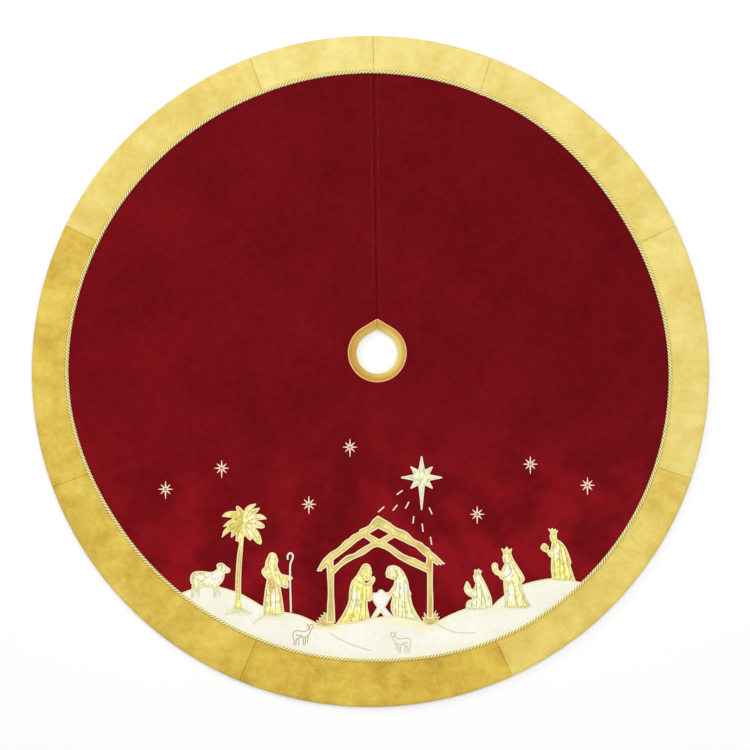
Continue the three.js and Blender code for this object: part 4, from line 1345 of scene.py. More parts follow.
def make_streaky(name, light, tint, streak, spots=(), width=0.0045, amount=0.6, metal=0.1,
                 edge=(0.0028, 0.3)):
    """Cloth with upright streaks and flecks, and painted shade where it dips to its stitched edge. width is
    that of a streak, amount is how much of the cloth they take, and edge is how wide and how dark that
    painted shade is."""
    finish, tree, cloth = new_finish(name)
    place = place_on(tree)
    tall = put(tree, "Mapping", {0: place, "Scale": (1 / width, 0.22 / width, 1)}).outputs[0]
    wavy = noise(tree, tall, 1.0, 3.0, 0.6, 0.35)
    flecks = use(tree, crinkle, Fleck_size=0.0046)["Height"]
    broad = use(tree, mottle, Cloud_size=0.03, Grain_size=0.003)["Share"]
    tone = spot_tones(tree, place, wavy, blend_of(tree, broad, dye(*light), dye(*tint)), spots)
    in_streak = range_of(tree, wavy, 0.66 - 0.2 * amount, 0.78 - 0.12 * amount, 0, 0.6)
    tone = blend_of(tree, in_streak, tone, dye(*streak))
    tone = blend_of(tree, range_of(tree, flecks, 0.5, 0.6, 0, amount), tone, dye(*streak))
    # painted glints: near-white flecks stand in for light caught by the crumpled metal thread
    tone = blend_of(tree, range_of(tree, flecks, 0.44, 0.36, 0, 0.8 * amount), tone, dye(255, 253, 236))
    # painted shade: the cloth is darkened along its stitched edge, where it dips
    ragged = number(tree, "ADD", from_cut_edge(tree), number(tree, "MULTIPLY_ADD", flecks, 0.003, -0.0015))
    edge_shade = range_of(tree, ragged, 0.0026, 0.0026 + edge[0], edge[1], 0)
    tone = blend_of(tree, edge_shade, tone, dye(*(0.92 * c for c in streak)))
    plug(tree, cloth, {"Base Color": tone, "Roughness": range_of(tree, flecks, 0.3, 0.7, 0.55, 0.38),
                       "Metallic": metal, "Sheen Weight": 0.1})
    raise_surface(tree, cloth, both_of(tree, flecks, 0.7, wavy), 0.6, 0.0012)
    return finish


SNOW_TINTS = [(-84, -455, 34, 14, (238, 222, 168)), (106, -456, 32, 13, (240, 228, 184)),
              (-236, -433, 26, 8, (226, 226, 190)), (60, -452, 40, 7, (236, 234, 190)),
              (-180, -442, 30, 8, (230, 230, 188)), (255, -424, 26, 8, (232, 232, 196))]


def make_ivory_satin():
    """Heavy satin for the snow: nearly white, greenish along its top edge and golden by the grass."""
    finish, tree, cloth = new_finish("ivory_satin")
    cloudy = use(tree, mottle, Cloud_size=0.09, Grain_size=0.01)["Share"]
    over = use(tree, weave, Thread=0.0006)["Height"]
    tone = blend_of(tree, cloudy, dye(232, 228, 210), dye(247, 243, 230))
    wavering = number(tree, "MULTIPLY_ADD", cloudy, 0.012, from_cut_edge(tree))
    tone = blend_of(tree, range_of(tree, wavering, 0.004, 0.019, 0.6, 0), tone, dye(224, 226, 188))
    tone = spot_tones(tree, place_on(tree), cloudy, tone, SNOW_TINTS)
    plug(tree, cloth, {"Base Color": tone, "Roughness": range_of(tree, cloudy, 0, 1, 0.6, 0.48),
                       "Sheen Weight": 0.15})
    raise_surface(tree, cloth, over, 0.15, 0.0002)
    return finish


crinkle = make_crinkle()
ivory_satin = make_ivory_satin()
cream_stitch = make_thread("cream_stitch", (250, 212, 150), (255, 246, 208))
pink_stitch = make_thread("pink_stitch", (250, 216, 184), (255, 246, 230))
peach_stitch = make_thread("peach_stitch", (248, 206, 140), (255, 240, 192))
green_thread = make_thread("green_thread", (128, 128, 80), (188, 188, 132))
olive_thread = make_thread("olive_thread", (150, 138, 72), (204, 192, 120))
print("picture cloths:", [m.name for m in bpy.data.materials if "stitch" in m.name or "thread" in m.name])

# %% [markdown]
# ## The snow ground
# One ivory satin cloth makes all the hills. Its top edge carries a line of peach satin stitch, and its
# lower edge runs under the rope, so it needs none.

# %% Snow ground
velvet_main = velvets["main"][0]
on_velvet = Below(velvet_main)
GROUND_THICK = 0.9 * MM
GROUND_CELL = 9 * MM
TUCK = 2.0 * MM  # the ground's lower side ends this far inside the rope's middle line
SNOW_STITCH = (1.1 * MM, 1.6 * MM)
SNOW_SHADE = (1.3 * MM, 0.3 * MM)
SHADE_OUT = 0.6 * MM  # the strip of pressed pile and painted shadow lies this far outside a cut edge
NO_EDGE = 60 * MM


def note_edge(piece, inside):
    """Writes the from_edge UV map: how far each corner lies from the cut edge, in metres."""
    mesh = piece.data
    layer = mesh.uv_layers.new(name="from_edge")
    index = np.empty(len(mesh.loops), int)
    mesh.loops.foreach_get("vertex_index", index)
    far = np.concatenate([inside, inside])[index]
    layer.data.foreach_set("uv", np.stack([far, np.zeros(len(far))], axis=1).ravel())


def tucked_under_rope(outline):
    """The outline with its lower side carried on under the rope, where the seam holds it."""
    degrees = direction(outline)
    out = np.linalg.norm(outline, axis=1)
    seam = rope_radius(degrees)
    near = out > seam - 4.5 * MM
    moved = outline.copy()
    moved[near] = ((seam - TUCK)[:, None] * toward(degrees))[near]
    return moved


def sew_ground():
    outline = tucked_under_rope(smooth_outline(top_outlines("snow_ground")[0], 3 * MM))
    points, faces = cut_net([outline], GROUND_CELL)
    inside = edge_distance(points, [outline])
    velvet_height = VELVET_TOP + lie_at(points)
    to_rope = rope_radius(direction(points)) - TUCK - np.linalg.norm(points, axis=1)
    top = velvet_height + 0.4 * MM + (GROUND_THICK + 0.5 * MM) * (1 - np.exp(-inside / (4 * MM)))
    bottom = velvet_height - 0.1 * MM - rolled(np.clip(to_rope, 0, None), SEAM_ROLL, SEAM_DROP)
    patch = closed_patch("snow_ground", points, faces, top, bottom, ivory_satin)
    note_edge(patch, np.where(to_rope < inside + 1 * MM, NO_EDGE, inside))
    return sewn_down(patch, "ivory_satin", "snow_ground"), outline


def open_part(outline, keep):
    """The one stretch of an outline whose points pass a test, in order."""
    chosen = keep(outline)
    turn_at = np.where(chosen & ~np.roll(chosen, 1))[0][0]
    rolled_line, rolled_choice = np.roll(outline, -turn_at, axis=0), np.roll(chosen, -turn_at)
    return rolled_line[rolled_choice]


snow, snow_outline = sew_ground()
hill_line = open_part(snow_outline,
                      lambda spots: np.linalg.norm(spots, axis=1) < rope_radius(direction(spots)) - 3.4 * MM)
on_snow = Below(velvet_main, snow)
snow_edge = stitched("snow_edge_stitch", [moved_in(hill_line, 0.8 * MM, closed=False)], on_velvet,
                     SNOW_STITCH, peach_stitch, "ivory_satin", closed=False)
# painted shadow: a dark strip of pressed pile along the snow's edge stands in for the thin shade there
stitched("snow_edge_shadowed_pile", [moved_in(hill_line, -SHADE_OUT, closed=False)], on_velvet, SNOW_SHADE,
         shadowed_pile, "red_velvet", closed=False)
print("snow:", len(snow.data.polygons), "faces, edge", round(len_round(hill_line), 2), "m round")

# %% [markdown]
# ## The figures
# Stable, palm, sheep, people and manger are all made by one function, as a workshop would: cut the cloth,
# pad it a little so that it crowns in the middle, and stitch its edge. Where a figure stands on the velvet
# the stitch is broad, in cream, pink or peach. Where its foot lies on the snow the maker changed to a
# narrow ivory thread, so that the figure seems to sink in. The folds of the robes are single lines of
# thread over the cloth. They are listed here in millimetres, one by one. The faces stay plain profiles
# without features.

# %% Cut, pad and stitch one figure
FIGURE_CELL, FIGURE_STEP, FOLD_STEP = 2.2 * MM, 1.6 * MM, 1.5 * MM
FIGURE_RISE = 0.9 * MM
PADDING, PADDING_REACH = 0.9 * MM, 4.5 * MM
FIGURE_ROLL = 1.1 * MM
BROAD_STITCH = (1.5 * MM, 1.4 * MM)
IVORY_STITCH = (0.7 * MM, 0.9 * MM)
FOLD_THREAD = (0.65 * MM, 0.4 * MM)
SHADOWED_PILE = (1.15 * MM, 0.25 * MM)


def runs_of(line, chosen):
    """The stretches of a closed line whose points are chosen, and whether the whole line is."""
    if chosen.all():
        return [line], True
    starts = np.where(chosen & ~np.roll(chosen, 1))[0]
    found = []
    for start in starts:
        run = [line[start]]
        while chosen[(start + len(run)) % len(line)]:
            run.append(line[(start + len(run)) % len(line)])
        if len(run) > 4:
            found.append(np.array(run))
    return found, False


def lies_on_snow(points):
    """True where the snow ground is under a point, found by how much higher the surface is there."""
    return on_snow.height(points) - on_velvet.height(points) > 0.6 * MM


def sew_figure(node, cloth_finish, slot_name, thread, folds=(), fold_thread=None, padding=PADDING,
               broad=BROAD_STITCH):
    outlines = [smooth_outline(line, FIGURE_STEP) for line in top_outlines(node)]
    points, faces = cut_net(outlines, FIGURE_CELL)
    floor_height = on_snow.height(points)
    inside = edge_distance(points, outlines)
    rim_drop = 0.75 * FIGURE_RISE * np.exp(-(inside / FIGURE_ROLL) ** 2)
    crown = padding * (1 - np.exp(-inside / PADDING_REACH))
    top = floor_height + FIGURE_RISE - rim_drop + crown
    patch = closed_patch(node, points, faces, top, floor_height + 0.05 * MM, cloth_finish)
    note_edge(patch, inside)
    sewn_down(patch, slot_name, node)
    trims = []
    for i, line in enumerate(outlines):
        line = moved_in(line, broad[0] * 0.62)
        snowy = lies_on_snow(line)
        for part, chosen, (half_width, rise), colour in (("edge", ~snowy, broad, thread),
                                                         ("foot", snowy, IVORY_STITCH, ivory_stitch)):
            if chosen.sum() > 4:
                runs, closed = runs_of(line, chosen)
                title = f"{node}_{part}_stitch" + (f"_{i}" if i else "")
                raised = (half_width, rise + FIGURE_RISE * 0.5)
                trims.append(stitched(title, runs, on_snow, raised, colour, slot_name, closed))
    if folds:
        lines = [smooth_run(np.array(fold) * MM, FOLD_STEP) for fold in folds]
        trims.append(stitched(f"{node}_folds", lines, Below(patch), FOLD_THREAD, fold_thread or thread,
                              slot_name, closed=False, ends=True))
    # painted shadow: a dark strip of pressed pile round the bare edges stands in for the figure's thin shade
    # on the velvet
    bare = [run for line in outlines for run in runs_of(line, ~lies_on_snow(line))[0]]
    stitched(f"{node}_shadowed_pile", [moved_in(run, -SHADE_OUT, closed=False) for run in bare], on_velvet,
             SHADOWED_PILE, shadowed_pile, "red_velvet", closed=False)
    return patch, outlines, trims


ivory_stitch = make_thread("ivory_stitch", (228, 222, 186), (250, 247, 226))

# %% Stable and grass
stable_cloth = make_streaky("stable_lame", (244, 228, 146), (230, 208, 106), (168, 144, 50), width=0.009,
                            amount=0.3, edge=(0.0042, 0.55),
                            spots=[(14, -270, 16, 12, (196, 188, 96)), (55, -287, 12, 8, (196, 186, 96)),
                                   (-72, -420, 5, 30, (206, 188, 96)), (108, -420, 4, 26, (204, 182, 88)),
                                   (92, -318, 16, 10, (216, 172, 70)), (60, -334, 16, 6, (198, 190, 104)),
                                   (-40, -335, 16, 6, (200, 190, 104)), (108, -350, 8, 12, (216, 172, 74))])
sewn = {}
CROSSING = [[(2, -309), (9, -306), (16, -303)], [(16, -303), (22, -305.5), (28, -308)]]
sewn["stable_frame"] = sew_figure("stable_frame", stable_cloth, "gold_lame", cream_stitch, CROSSING,
                                  padding=0.6 * MM, broad=(1.55 * MM, 1.7 * MM))
GRASS_BLADES = {
    "grass_tuft_left": [[(-70, -455), (-75, -445), (-78, -438)], [(-74, -456), (-80, -447), (-85, -440)],
                        [(-78, -457), (-85, -451), (-90, -446)], [(-80, -458), (-89, -454), (-96, -451)]],
    "grass_tuft_right": [[(106, -455), (101, -446), (97, -437)], [(107, -455), (107, -445), (107, -437)],
                         [(108, -455), (112, -445), (117, -434)], [(109, -456), (116, -448), (122, -442)]],
}
for node, blades in GRASS_BLADES.items():
    grass_cloth = make_streaky(f"{node}_lame", (230, 212, 132), (218, 196, 104), (184, 160, 70))
    sewn[node] = sew_figure(node, grass_cloth, "gold_lame", cream_stitch, blades, olive_thread,
                            broad=(0.8 * MM, 1.3 * MM))
print("stable and grass:", [len(sewn[n][0].data.polygons) for n in sewn])

# %% Palm and sheep
FROND_TIPS = np.array([(-265, -297), (-262, -280), (-264, -262), (-237, -245), (-208, -240), (-202, -247),
                       (-190, -265), (-194, -280), (-200, -306), (-217, -302), (-241, -303), (-250, -297)])
CROWN_MIDDLE = np.array((-230, -271))
RIB_START, RIB_END = 0.22, 0.88  # as shares of the way from the crown's middle to the tip
DROOP = np.array((0, 2.2))


def frond_ribs():
    """A rib from near the middle of the crown to each frond's tip, with a slight droop."""
    ribs = []
    for tip in FROND_TIPS:
        start, end = [CROWN_MIDDLE + share * (tip - CROWN_MIDDLE) for share in (RIB_START, RIB_END)]
        ribs.append([start, (start + tip) / 2 + DROOP, end])
    return ribs


palm_cloth = make_streaky("palm_lame", (252, 244, 158), (244, 232, 124), (176, 166, 48), edge=(0.0028, 0.15),
                          spots=[(-243, -272, 14, 28, (222, 204, 78)), (-208, -270, 18, 34, (248, 242, 186)),
                                 (-238, -350, 8, 50, (244, 224, 150)), (-233, -262, 4, 22, (196, 180, 60))])
TRUNK_STREAKS = [[(-240.5, -412), (-240, -380), (-238, -345), (-235, -320)],
                 [(-237, -412), (-236.5, -380), (-234.5, -345), (-231.5, -322)]]
sewn["palm_tree"] = sew_figure("palm_tree", palm_cloth, "cream_lame", peach_stitch,
                               frond_ribs() + TRUNK_STREAKS, olive_thread, broad=(1.3 * MM, 1.6 * MM))
sheep_cloth = make_streaky("sheep_fleece", (250, 246, 212), (238, 236, 184), (172, 164, 96), width=0.0035,
                           spots=[(-280, -368, 16, 14, (248, 246, 238)), (-262, -356, 9, 8, (240, 238, 212))])
SHEEP_LINES = [[(-316, -362), (-319.5, -367.5), (-320, -374), (-319, -381), (-318, -388)],
               [(-273, -350), (-270, -347.5), (-267.5, -350), (-268, -355.5), (-271, -358)],
               [(-308, -387), (-299, -386.7), (-286, -386.3)], [(-313, -369), (-308, -364), (-303, -368)],
               [(-309, -375), (-304, -378), (-299, -374)], [(-300, -368), (-295, -371), (-290, -367)]]
sewn["sheep"] = sew_figure("sheep", sheep_cloth, "cream_lame", cream_stitch, SHEEP_LINES, olive_thread)

# %% Shepherd and crook
shepherd_cloth = make_streaky("shepherd_lame", (252, 246, 178), (240, 228, 138), (166, 148, 56), amount=0.65,
                              spots=[(-178, -385, 7, 18, (214, 182, 96)),
                                     (-172, -412, 6, 20, (246, 242, 220))])
SHEPHERD_FOLDS = [[(-181, -336), (-184, -348), (-180, -360)], [(-170, -352), (-172, -362), (-170, -372)],
                  [(-166, -366), (-162, -377), (-158, -387)], [(-186, -387), (-176, -390), (-164, -387)],
                  [(-187, -394), (-189, -414), (-190, -436)], [(-180, -394), (-180, -415), (-182, -437)],
                  [(-172, -393), (-171, -415), (-172, -438)], [(-165, -392), (-162, -415), (-160, -434)]]
sewn["shepherd"] = sew_figure("shepherd", shepherd_cloth, "cream_lame", cream_stitch, SHEPHERD_FOLDS,
                              olive_thread)
crook_satin = make_streaky("crook_satin", (246, 230, 212), (238, 216, 196), (220, 190, 168), amount=0.2,
                           metal=0)
sewn["shepherd_crook"] = sew_figure("shepherd_crook", crook_satin, "white_satin", pink_stitch,
                                    padding=0.3 * MM, broad=(1.0 * MM, 1.2 * MM))

# %% The family and the manger
man_cloth = make_streaky("man_lame", (252, 246, 152), (242, 232, 112), (168, 156, 44), amount=0.62,
                         spots=[(-27, -412, 9, 20, (248, 244, 216)), (-12, -357, 9, 9, (226, 214, 132))])
MAN_FOLDS = [[(-17, -353), (-19, -363), (-15, -371), (-10, -375)],
             [(-27, -374), (-18, -381), (-8, -385), (0, -385)],
             [(-32, -386), (-34, -405), (-40, -425), (-50, -444)],
             [(-24, -388), (-25, -410), (-30, -430), (-36, -449)],
             [(-15, -390), (-15, -412), (-18, -432), (-21, -448)],
             [(-7, -392), (-8, -405), (-9, -425), (-9, -445)]]
woman_cloth = make_streaky("woman_lame", (253, 251, 206), (242, 244, 176), (162, 158, 70), amount=0.65,
                           spots=[(57, -388, 12, 12, (250, 248, 236)), (40, -362, 10, 9, (234, 232, 180))])
WOMAN_FOLDS = [[(43, -356), (48, -366), (47, -376)], [(48, -379), (46, -390), (38, -399)],
               [(53, -380), (52, -400), (50, -420), (50, -440)],
               [(60, -382), (61, -405), (62, -425), (65, -445)],
               [(67, -392), (69, -412), (75, -432), (83, -446)], [(46, -406), (44, -420), (46, -439)]]
manger_satin = make_streaky("manger_satin", (246, 246, 240), (238, 238, 230), (206, 206, 196), amount=0.3,
                            metal=0)
MANGER_LINES = [[(9, -402), (19, -405.5), (31, -402)], [(12, -410), (19, -413), (28, -410)],
                [(15, -398), (19, -402), (24, -398.5)], [(15, -425), (22, -433), (31, -443)],
                [(24, -424), (16, -433), (6, -443.5)]]
sewn["kneeling_man"] = sew_figure("kneeling_man", man_cloth, "cream_lame", cream_stitch, MAN_FOLDS,
                                  olive_thread)
sewn["kneeling_woman"] = sew_figure("kneeling_woman", woman_cloth, "cream_lame", cream_stitch, WOMAN_FOLDS,
                                    olive_thread)
sewn["manger"] = sew_figure("manger", manger_satin, "white_satin", cream_stitch, MANGER_LINES, ivory_stitch,
                            broad=(0.9 * MM, 1.4 * MM))

# %% The three kings
KINGS = {
    "king_kneeling": ((253, 251, 218), (242, 244, 190), (152, 150, 70), [(196, -372, 8, 10, (246, 244, 220))],
                      [[(188.5, -363), (194, -364.5), (198.5, -364.8)],
                       [(196, -378), (203, -400), (209, -425)],
                       [(190, -384), (192, -405), (190, -425)], [(178, -414), (182, -420), (181, -426)],
                       [(200, -392), (200, -410), (199, -426)]]),
    "king_bearing": ((253, 248, 194), (242, 234, 142), (164, 150, 56), [(250, -360, 9, 20, (250, 248, 240)),
                                                                    (252, -400, 8, 16, (248, 246, 228))],
                     [[(239, -325.5), (246, -327.5), (253, -328)], [(251, -340), (262, -360), (271, -380)],
                      [(238, -372), (249, -367), (255, -356)], [(247, -378), (248, -400), (246, -422)],
                      [(257, -378), (261, -402), (266, -423)], [(266, -384), (274, -405), (282, -421)]]),
    "king_standing": ((252, 244, 148), (238, 228, 104), (152, 142, 38), [(335, -325, 5, 16, (248, 244, 214))],
                      [[(324.5, -292.5), (330, -294), (335.5, -294.2)],
                       [(338, -304), (344, -325), (348, -350), (352, -375)],
                       [(329, -312), (331, -335), (332, -372)], [(340, -320), (341, -345), (342, -374)],
                       [(350, -322), (355, -345), (361, -373)]]),
}
for node, (light, tint, streak, spots, folds) in KINGS.items():
    king_cloth = make_streaky(f"{node}_lame", light, tint, streak, spots)
    sewn[node] = sew_figure(node, king_cloth, "cream_lame", cream_stitch, folds, olive_thread)
print("figures:", {n: len(sewn[n][0].data.polygons) for n in sewn})

# %% [markdown]
# ## Stars and rays
# The small stars are worked straight onto the velvet: eight bars of satin stitch that meet under a knot of
# gold thread. The short rays under the guiding star are single bars. The guiding star itself is an appliqué
# of white satin, padded so that each of its points has a ridge.

# %% Small stars and rays
star_light = make_thread("star_stitch", (244, 206, 174), (255, 244, 226))
star_knot = make_thread("star_knot", (150, 116, 40), (214, 184, 92), 0.0012)
BAR_STITCH = (1.9 * MM, 1.4 * MM)
BAR_TIP = 0.3
BAR_START = 0.8 * MM
KNOT_RADIUS = 1.9 * MM
KNOT_STITCH = (1.2 * MM, 0.7 * MM)
RAY_STITCH = (1.3 * MM, 1.1 * MM)


def star_reach(outline, middle, degrees):
    """How far an outline stands out from a point in one direction."""
    away = outline - middle
    off = np.abs((direction(away) - degrees + 180) % 360 - 180)
    return np.linalg.norm(away[off < 14], axis=1).max()


def sew_small_star(number_of):
    node = f"small_star_{number_of}"
    outline = top_outlines(node)[0]
    level = outline[outline[:, 0] > outline[:, 0].max() - 0.3 * MM]
    middle = np.array([(outline[:, 0].max() + outline[:, 0].min()) / 2, level[:, 1].mean()])
    bars = []
    for degrees in range(0, 360, 45):
        reach = star_reach(outline, middle, degrees) - 0.3 * MM
        bars.append(middle + np.outer([BAR_START, reach + 0.6 * MM], toward(degrees)))
    star = stitched(node, bars, on_velvet, BAR_STITCH, star_light, "white_satin", closed=False, taper=BAR_TIP)
    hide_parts(node)
    knot_ring = middle + toward(np.arange(0, 360, 30)) * KNOT_RADIUS
    stitched(f"{node}_knot", [knot_ring[::-1]], Below(star, velvet_main), KNOT_STITCH, star_knot,
             "white_satin")
    return star


def sew_ray(number_of):
    node = f"star_ray_{number_of}"
    outline = top_outlines(node)[0]
    centre = outline.mean(0)
    way = np.linalg.svd(outline - centre)[2][0]
    along = (outline - centre) @ way
    bar = np.array([centre + way * along.min(), centre + way * along.max()])
    ray = stitched(node, [bar], on_velvet, RAY_STITCH, star_light, "white_satin", closed=False, ends=True)
    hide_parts(node)
    return ray


small_stars = [sew_small_star(i) for i in range(1, 8)]
rays = [sew_ray(i) for i in range(1, 9)]

# %% Guiding star
guide_satin = make_streaky("guiding_star_satin", (244, 242, 218), (228, 228, 186), (176, 176, 120),
                           amount=0.7)
sewn["guiding_star"] = sew_figure("guiding_star", guide_satin, "white_satin", pink_stitch, padding=1.6 * MM,
                                  broad=(1.15 * MM, 1.1 * MM))
print("stars:", [len(star.data.polygons) for star in small_stars], "rays:", len(rays))

# %% [markdown]
# ## Thread drawing on the snow
# Two lambs are drawn on the snow in grey-green thread: a back, a curled ear, a small head, two scalloped
# lines for the fleece, and legs. The second lamb is the same drawing turned to face the other way, in a
# paler thread. A few broad soft lines of pale thread mark the far sides of the hills.

# %% Lambs and ridge lines
LAMB_LINES = [  # millimetres from the middle of the lamb, which looks to the right
    [(-18, 2.5), (-16, 6), (-11, 7.5), (-5.5, 7), (0, 6), (6, 7), (9.5, 9.5), (11, 12.5), (9, 15.5), (8, 18),
     (10.5, 18.5)],
    [(11, 13), (12.5, 17), (15.5, 18.5), (18, 16.5), (17, 12), (14.5, 10), (11.5, 11)],
    [(14, 9.5), (13, 5), (10, 0)], [(-18, 2.5), (-18.5, -3), (-16.5, -8)],
    [(-13, 2), (-9, -2), (-5, -0.5), (-2, -3.5), (2, -4.5), (6, -3.5), (10, 0)],
    [(-13, -6), (-9.5, -7.5), (-6, -4.5), (-2, -4)],
    [(-16.5, -8), (-15.5, -13), (-17.5, -19)], [(-12.5, -7.5), (-12.5, -13), (-13.5, -19)],
    [(-8, -7), (-7.5, -13), (-8, -19)], [(0, -6), (0.5, -13), (0.5, -19)], [(4, -5), (4, -12), (3.5, -19)],
    [(9, -1.5), (8.5, -8), (8, -14)]]
RIDGES = [[(-213, -455), (-200, -445), (-193, -441)],
          [(-262, -438), (-248, -434), (-232, -431), (-215, -436)],
          [(-73, -471), (-50, -485), (-20, -497), (2, -503)],
          [(116, -454), (135, -463), (155, -470), (190, -471)]]
pale_green_thread = make_thread("pale_green_thread", (172, 172, 122), (218, 214, 172))
ridge_thread = make_thread("ridge_thread", (198, 198, 154), (232, 230, 198))
LAMB_THREAD = (0.75 * MM, 0.6 * MM)
RIDGE_THREAD = (1.2 * MM, 0.4 * MM)


def draw_lamb(node, facing, thread):
    low_corner, high_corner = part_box(node)
    centre = np.array([(low_corner.x + high_corner.x) / 2, (low_corner.y + high_corner.y) / 2])
    drawing = [smooth_run(centre + np.array(line) * MM * [facing, 1], 1 * MM) for line in LAMB_LINES]
    lamb = stitched(node, drawing, on_snow, LAMB_THREAD, thread, "green_thread", closed=False, ends=True)
    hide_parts(node)


draw_lamb("lamb_left", 1, green_thread)
draw_lamb("lamb_centre", -1, pale_green_thread)
ridge_lines = [smooth_run(np.array(line) * MM, 2 * MM) for line in RIDGES]
stitched("snow_ridge_lines", ridge_lines, on_snow, RIDGE_THREAD, ridge_thread, "green_thread", closed=False,
         ends=True)
print("lambs and ridges sewn:", 2 * len(LAMB_LINES), "lamb lines and", len(ridge_lines), "ridges")

# %% [markdown]
# ## Machine stitches
# Three seams show their stitches: gold thread on the neck strip, red thread six millimetres from the slit,
# and gold thread round the underside, where the lining is caught down near the rim. One stitch is modelled
# as a short thread whose ends dive into the cloth. It is then copied along each seam.

# %% One stitch
STITCH_LENGTH = 2.4 * MM
STITCH_EVERY = 3.6 * MM
STITCH_RADIUS = 0.34 * MM


def select_end(piece, sign):
    """Selects the end face that looks along X, one way or the other."""
    bpy.ops.object.mode_set(mode="OBJECT")
    for part in (piece.data.vertices, piece.data.edges):
        part.foreach_set("select", [False] * len(part))
    for face in piece.data.polygons:
        face.select = face.normal.x * sign > 0.9
    bpy.ops.object.mode_set(mode="EDIT")


def model_stitch():
    bpy.ops.object.select_all(action="DESELECT")
    bpy.ops.mesh.primitive_cylinder_add(vertices=6, radius=STITCH_RADIUS, depth=STITCH_LENGTH,
                                        rotation=(0, math.pi / 2, 0))
    piece = bpy.context.object
    bpy.ops.object.transform_apply(location=False, rotation=True, scale=True)
    bpy.ops.object.mode_set(mode="EDIT")
    bpy.ops.mesh.select_mode(type="FACE")
    for sign in (-1, 1):
        select_end(piece, sign)
        bpy.ops.mesh.extrude_region_move(TRANSFORM_OT_translate={"value": (sign * 0.4 * MM, 0, -0.35 * MM)})
        bpy.ops.transform.resize(value=(1, 0.6, 0.6))
    bpy.ops.object.mode_set(mode="OBJECT")
    corners_of = np.array([v.co[:] for v in piece.data.vertices])
    faces_of = [tuple(face.vertices) for face in piece.data.polygons]
    bpy.data.objects.remove(piece)
    return corners_of, faces_of


stitch_corners, stitch_faces = model_stitch()
print("one stitch has", len(stitch_faces), "faces")


# %% Rows of stitches
def stitch_row(name, part, line, height, thread, up=1):
    """Copies of the stitch along a flat line at one height. With up at -1 they hang under the cloth."""
    spots = even_steps(line, STITCH_EVERY, closed=False)
    middles = (spots[1:] + spots[:-1]) / 2
    way = np.diff(spots, axis=0)
    way /= np.linalg.norm(way, axis=1)[:, None]
    vertices, faces = [], []
    x, y, z = stitch_corners.T
    for middle, (c, s) in zip(middles, way):
        faces += [tuple(i + len(vertices) * len(x) for i in face[::up]) for face in stitch_faces]
        turned = np.column_stack([x * c - y * s, x * s + y * c])
        vertices.append(np.column_stack([middle + turned, height + up * z]))
    vertices = np.vstack(vertices)
    row = new_piece(name, vertices, faces, thread)
    run_map(row, vertices[:, 0], np.zeros(len(vertices)))
    return settle(facing_out(row), part, [])


def line_beside_slit(word, side):
    """A line along the slit, at the furrow's distance from its edge, from the neck strip to the rope."""
    start, way = LINES[f"slit_{word}"]
    begin = BINDING_OUTER / math.cos(math.radians(POINT_SIDE)) + 1.5 * MM
    at_rope = rope_ring()[0](where_line_meets(f"slit_{word}", rope_ring()))
    end = np.linalg.norm(at_rope - start) - 5 * MM
    offset = start + side * slit_across * FURROW
    return np.array([offset + begin * way, offset + end * way])


SEW_IN_BINDING, SEW_IN_HEM = 2.7 * MM, 9 * MM  # how far the row lies inside the strip's edge and the rim
BINDING_STITCH_HEIGHT, HEM_STITCH_HEIGHT = 6.35 * MM, 0.1 * MM
rows = []
for word, side in (("left", -1), ("right", 1)):
    rows.append(stitch_row(f"slit_stitches_{word}", f"flap_{word}", line_beside_slit(word, side),
                           VELVET_TOP - FURROW_DEPTH + 0.25 * MM, seam_thread))
for part, (start, finish) in PARTS.items():
    neck_line = between([neck_ring(BINDING_OUTER - SEW_IN_BINDING)], start, finish, 90)[0]
    rows.append(stitch_row(f"binding_stitches_{part}", part, neck_line, BINDING_STITCH_HEIGHT, hem_thread))
    hem_line = between([rim_ring(SEW_IN_HEM)], start, finish, 200)[0]
    rows.append(stitch_row(f"hem_stitches_{part}", part, hem_line, HEM_STITCH_HEIGHT, hem_thread,
                           up=-1))
print("rows of stitches:", [len(row.data.polygons) for row in rows])

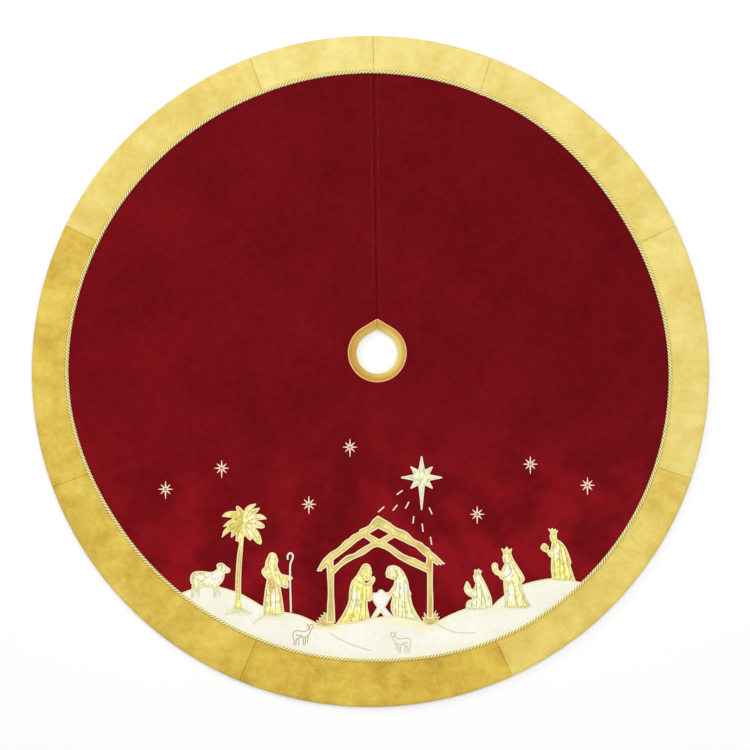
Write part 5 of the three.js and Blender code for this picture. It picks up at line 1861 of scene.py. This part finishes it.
# %% [markdown]
# ## The flat size of the layers, panels and appliqués
# The layers, the border panels, the snow and the figures are printed with the rectangle that each was cut
# from, because a cutter needs that, and with the area of the finished piece. Border panels are measured as
# they lie on the cutting table, with their middle upright. Stars and open frames nest when they are cut, so
# each takes a strip as long as itself that it fills by about six tenths.

# %% Flat sizes
NESTED_SHARE = 0.6
SPARSE_SHARE = 0.31  # a piece that fills less of its rectangle than this is nested


def as_cut(points, degrees):
    """The points turned so that a direction on the skirt points straight up."""
    c, s = math.cos(math.radians(degrees)), math.sin(math.radians(degrees))
    x, y = points.reshape(-1, 2).T
    return np.column_stack([x * c - y * s, x * s + y * c])


def net_area(points):
    a, b = points[1:, 1:] - points[:-1, :-1], points[:-1, 1:] - points[1:, :-1]
    return float(np.abs(a[..., 0] * b[..., 1] - a[..., 1] * b[..., 0]).sum() / 2)


def outline_area(outlines):
    areas = [(x * np.roll(y, -1) - y * np.roll(x, -1)).sum() / 2 for x, y in (line.T for line in outlines)]
    return float(abs(sum(areas)))


def declare(piece, spots, area, rests_on, degrees=0.0, with_pieces=()):
    width, length = np.ptp(as_cut(spots, degrees), axis=0)
    if area < SPARSE_SHARE * width * length:
        width, length = area / NESTED_SHARE / max(width, length), max(width, length)
    list(with_pieces)
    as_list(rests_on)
    print(f"{piece.name}: {width * 1000:.0f} x {length * 1000:.0f} mm, {area * 1e4:.1f} cm2")


for part in PARTS:
    for (piece, points), under in ((linings[part], ()), (waddings[part], [f"lining_{part}"]),
                                   (velvets[part], [f"interlining_{part}"])):
        declare(piece, points, net_area(points), under)
for part in FLAPS:
    declare(*facings[part], net_area(facings[part][1]), [f"lining_{part}"])
for name, (piece, points) in panels.items():
    middle = points[points.shape[0] // 2, points.shape[1] // 2]
    under = [f"interlining_{part_of_panel(name)}"]
    declare(piece, points, net_area(points), under, float(direction(middle)))
declare(snow, snow_outline, outline_area([snow_outline]), ["velvet_main"], with_pieces=[snow_edge])
for node, (patch, outlines, trims) in sewn.items():
    if node != "shepherd_crook":
        declare(patch, outlines[0], outline_area(outlines), ["velvet_main", "snow_ground"], with_pieces=trims)
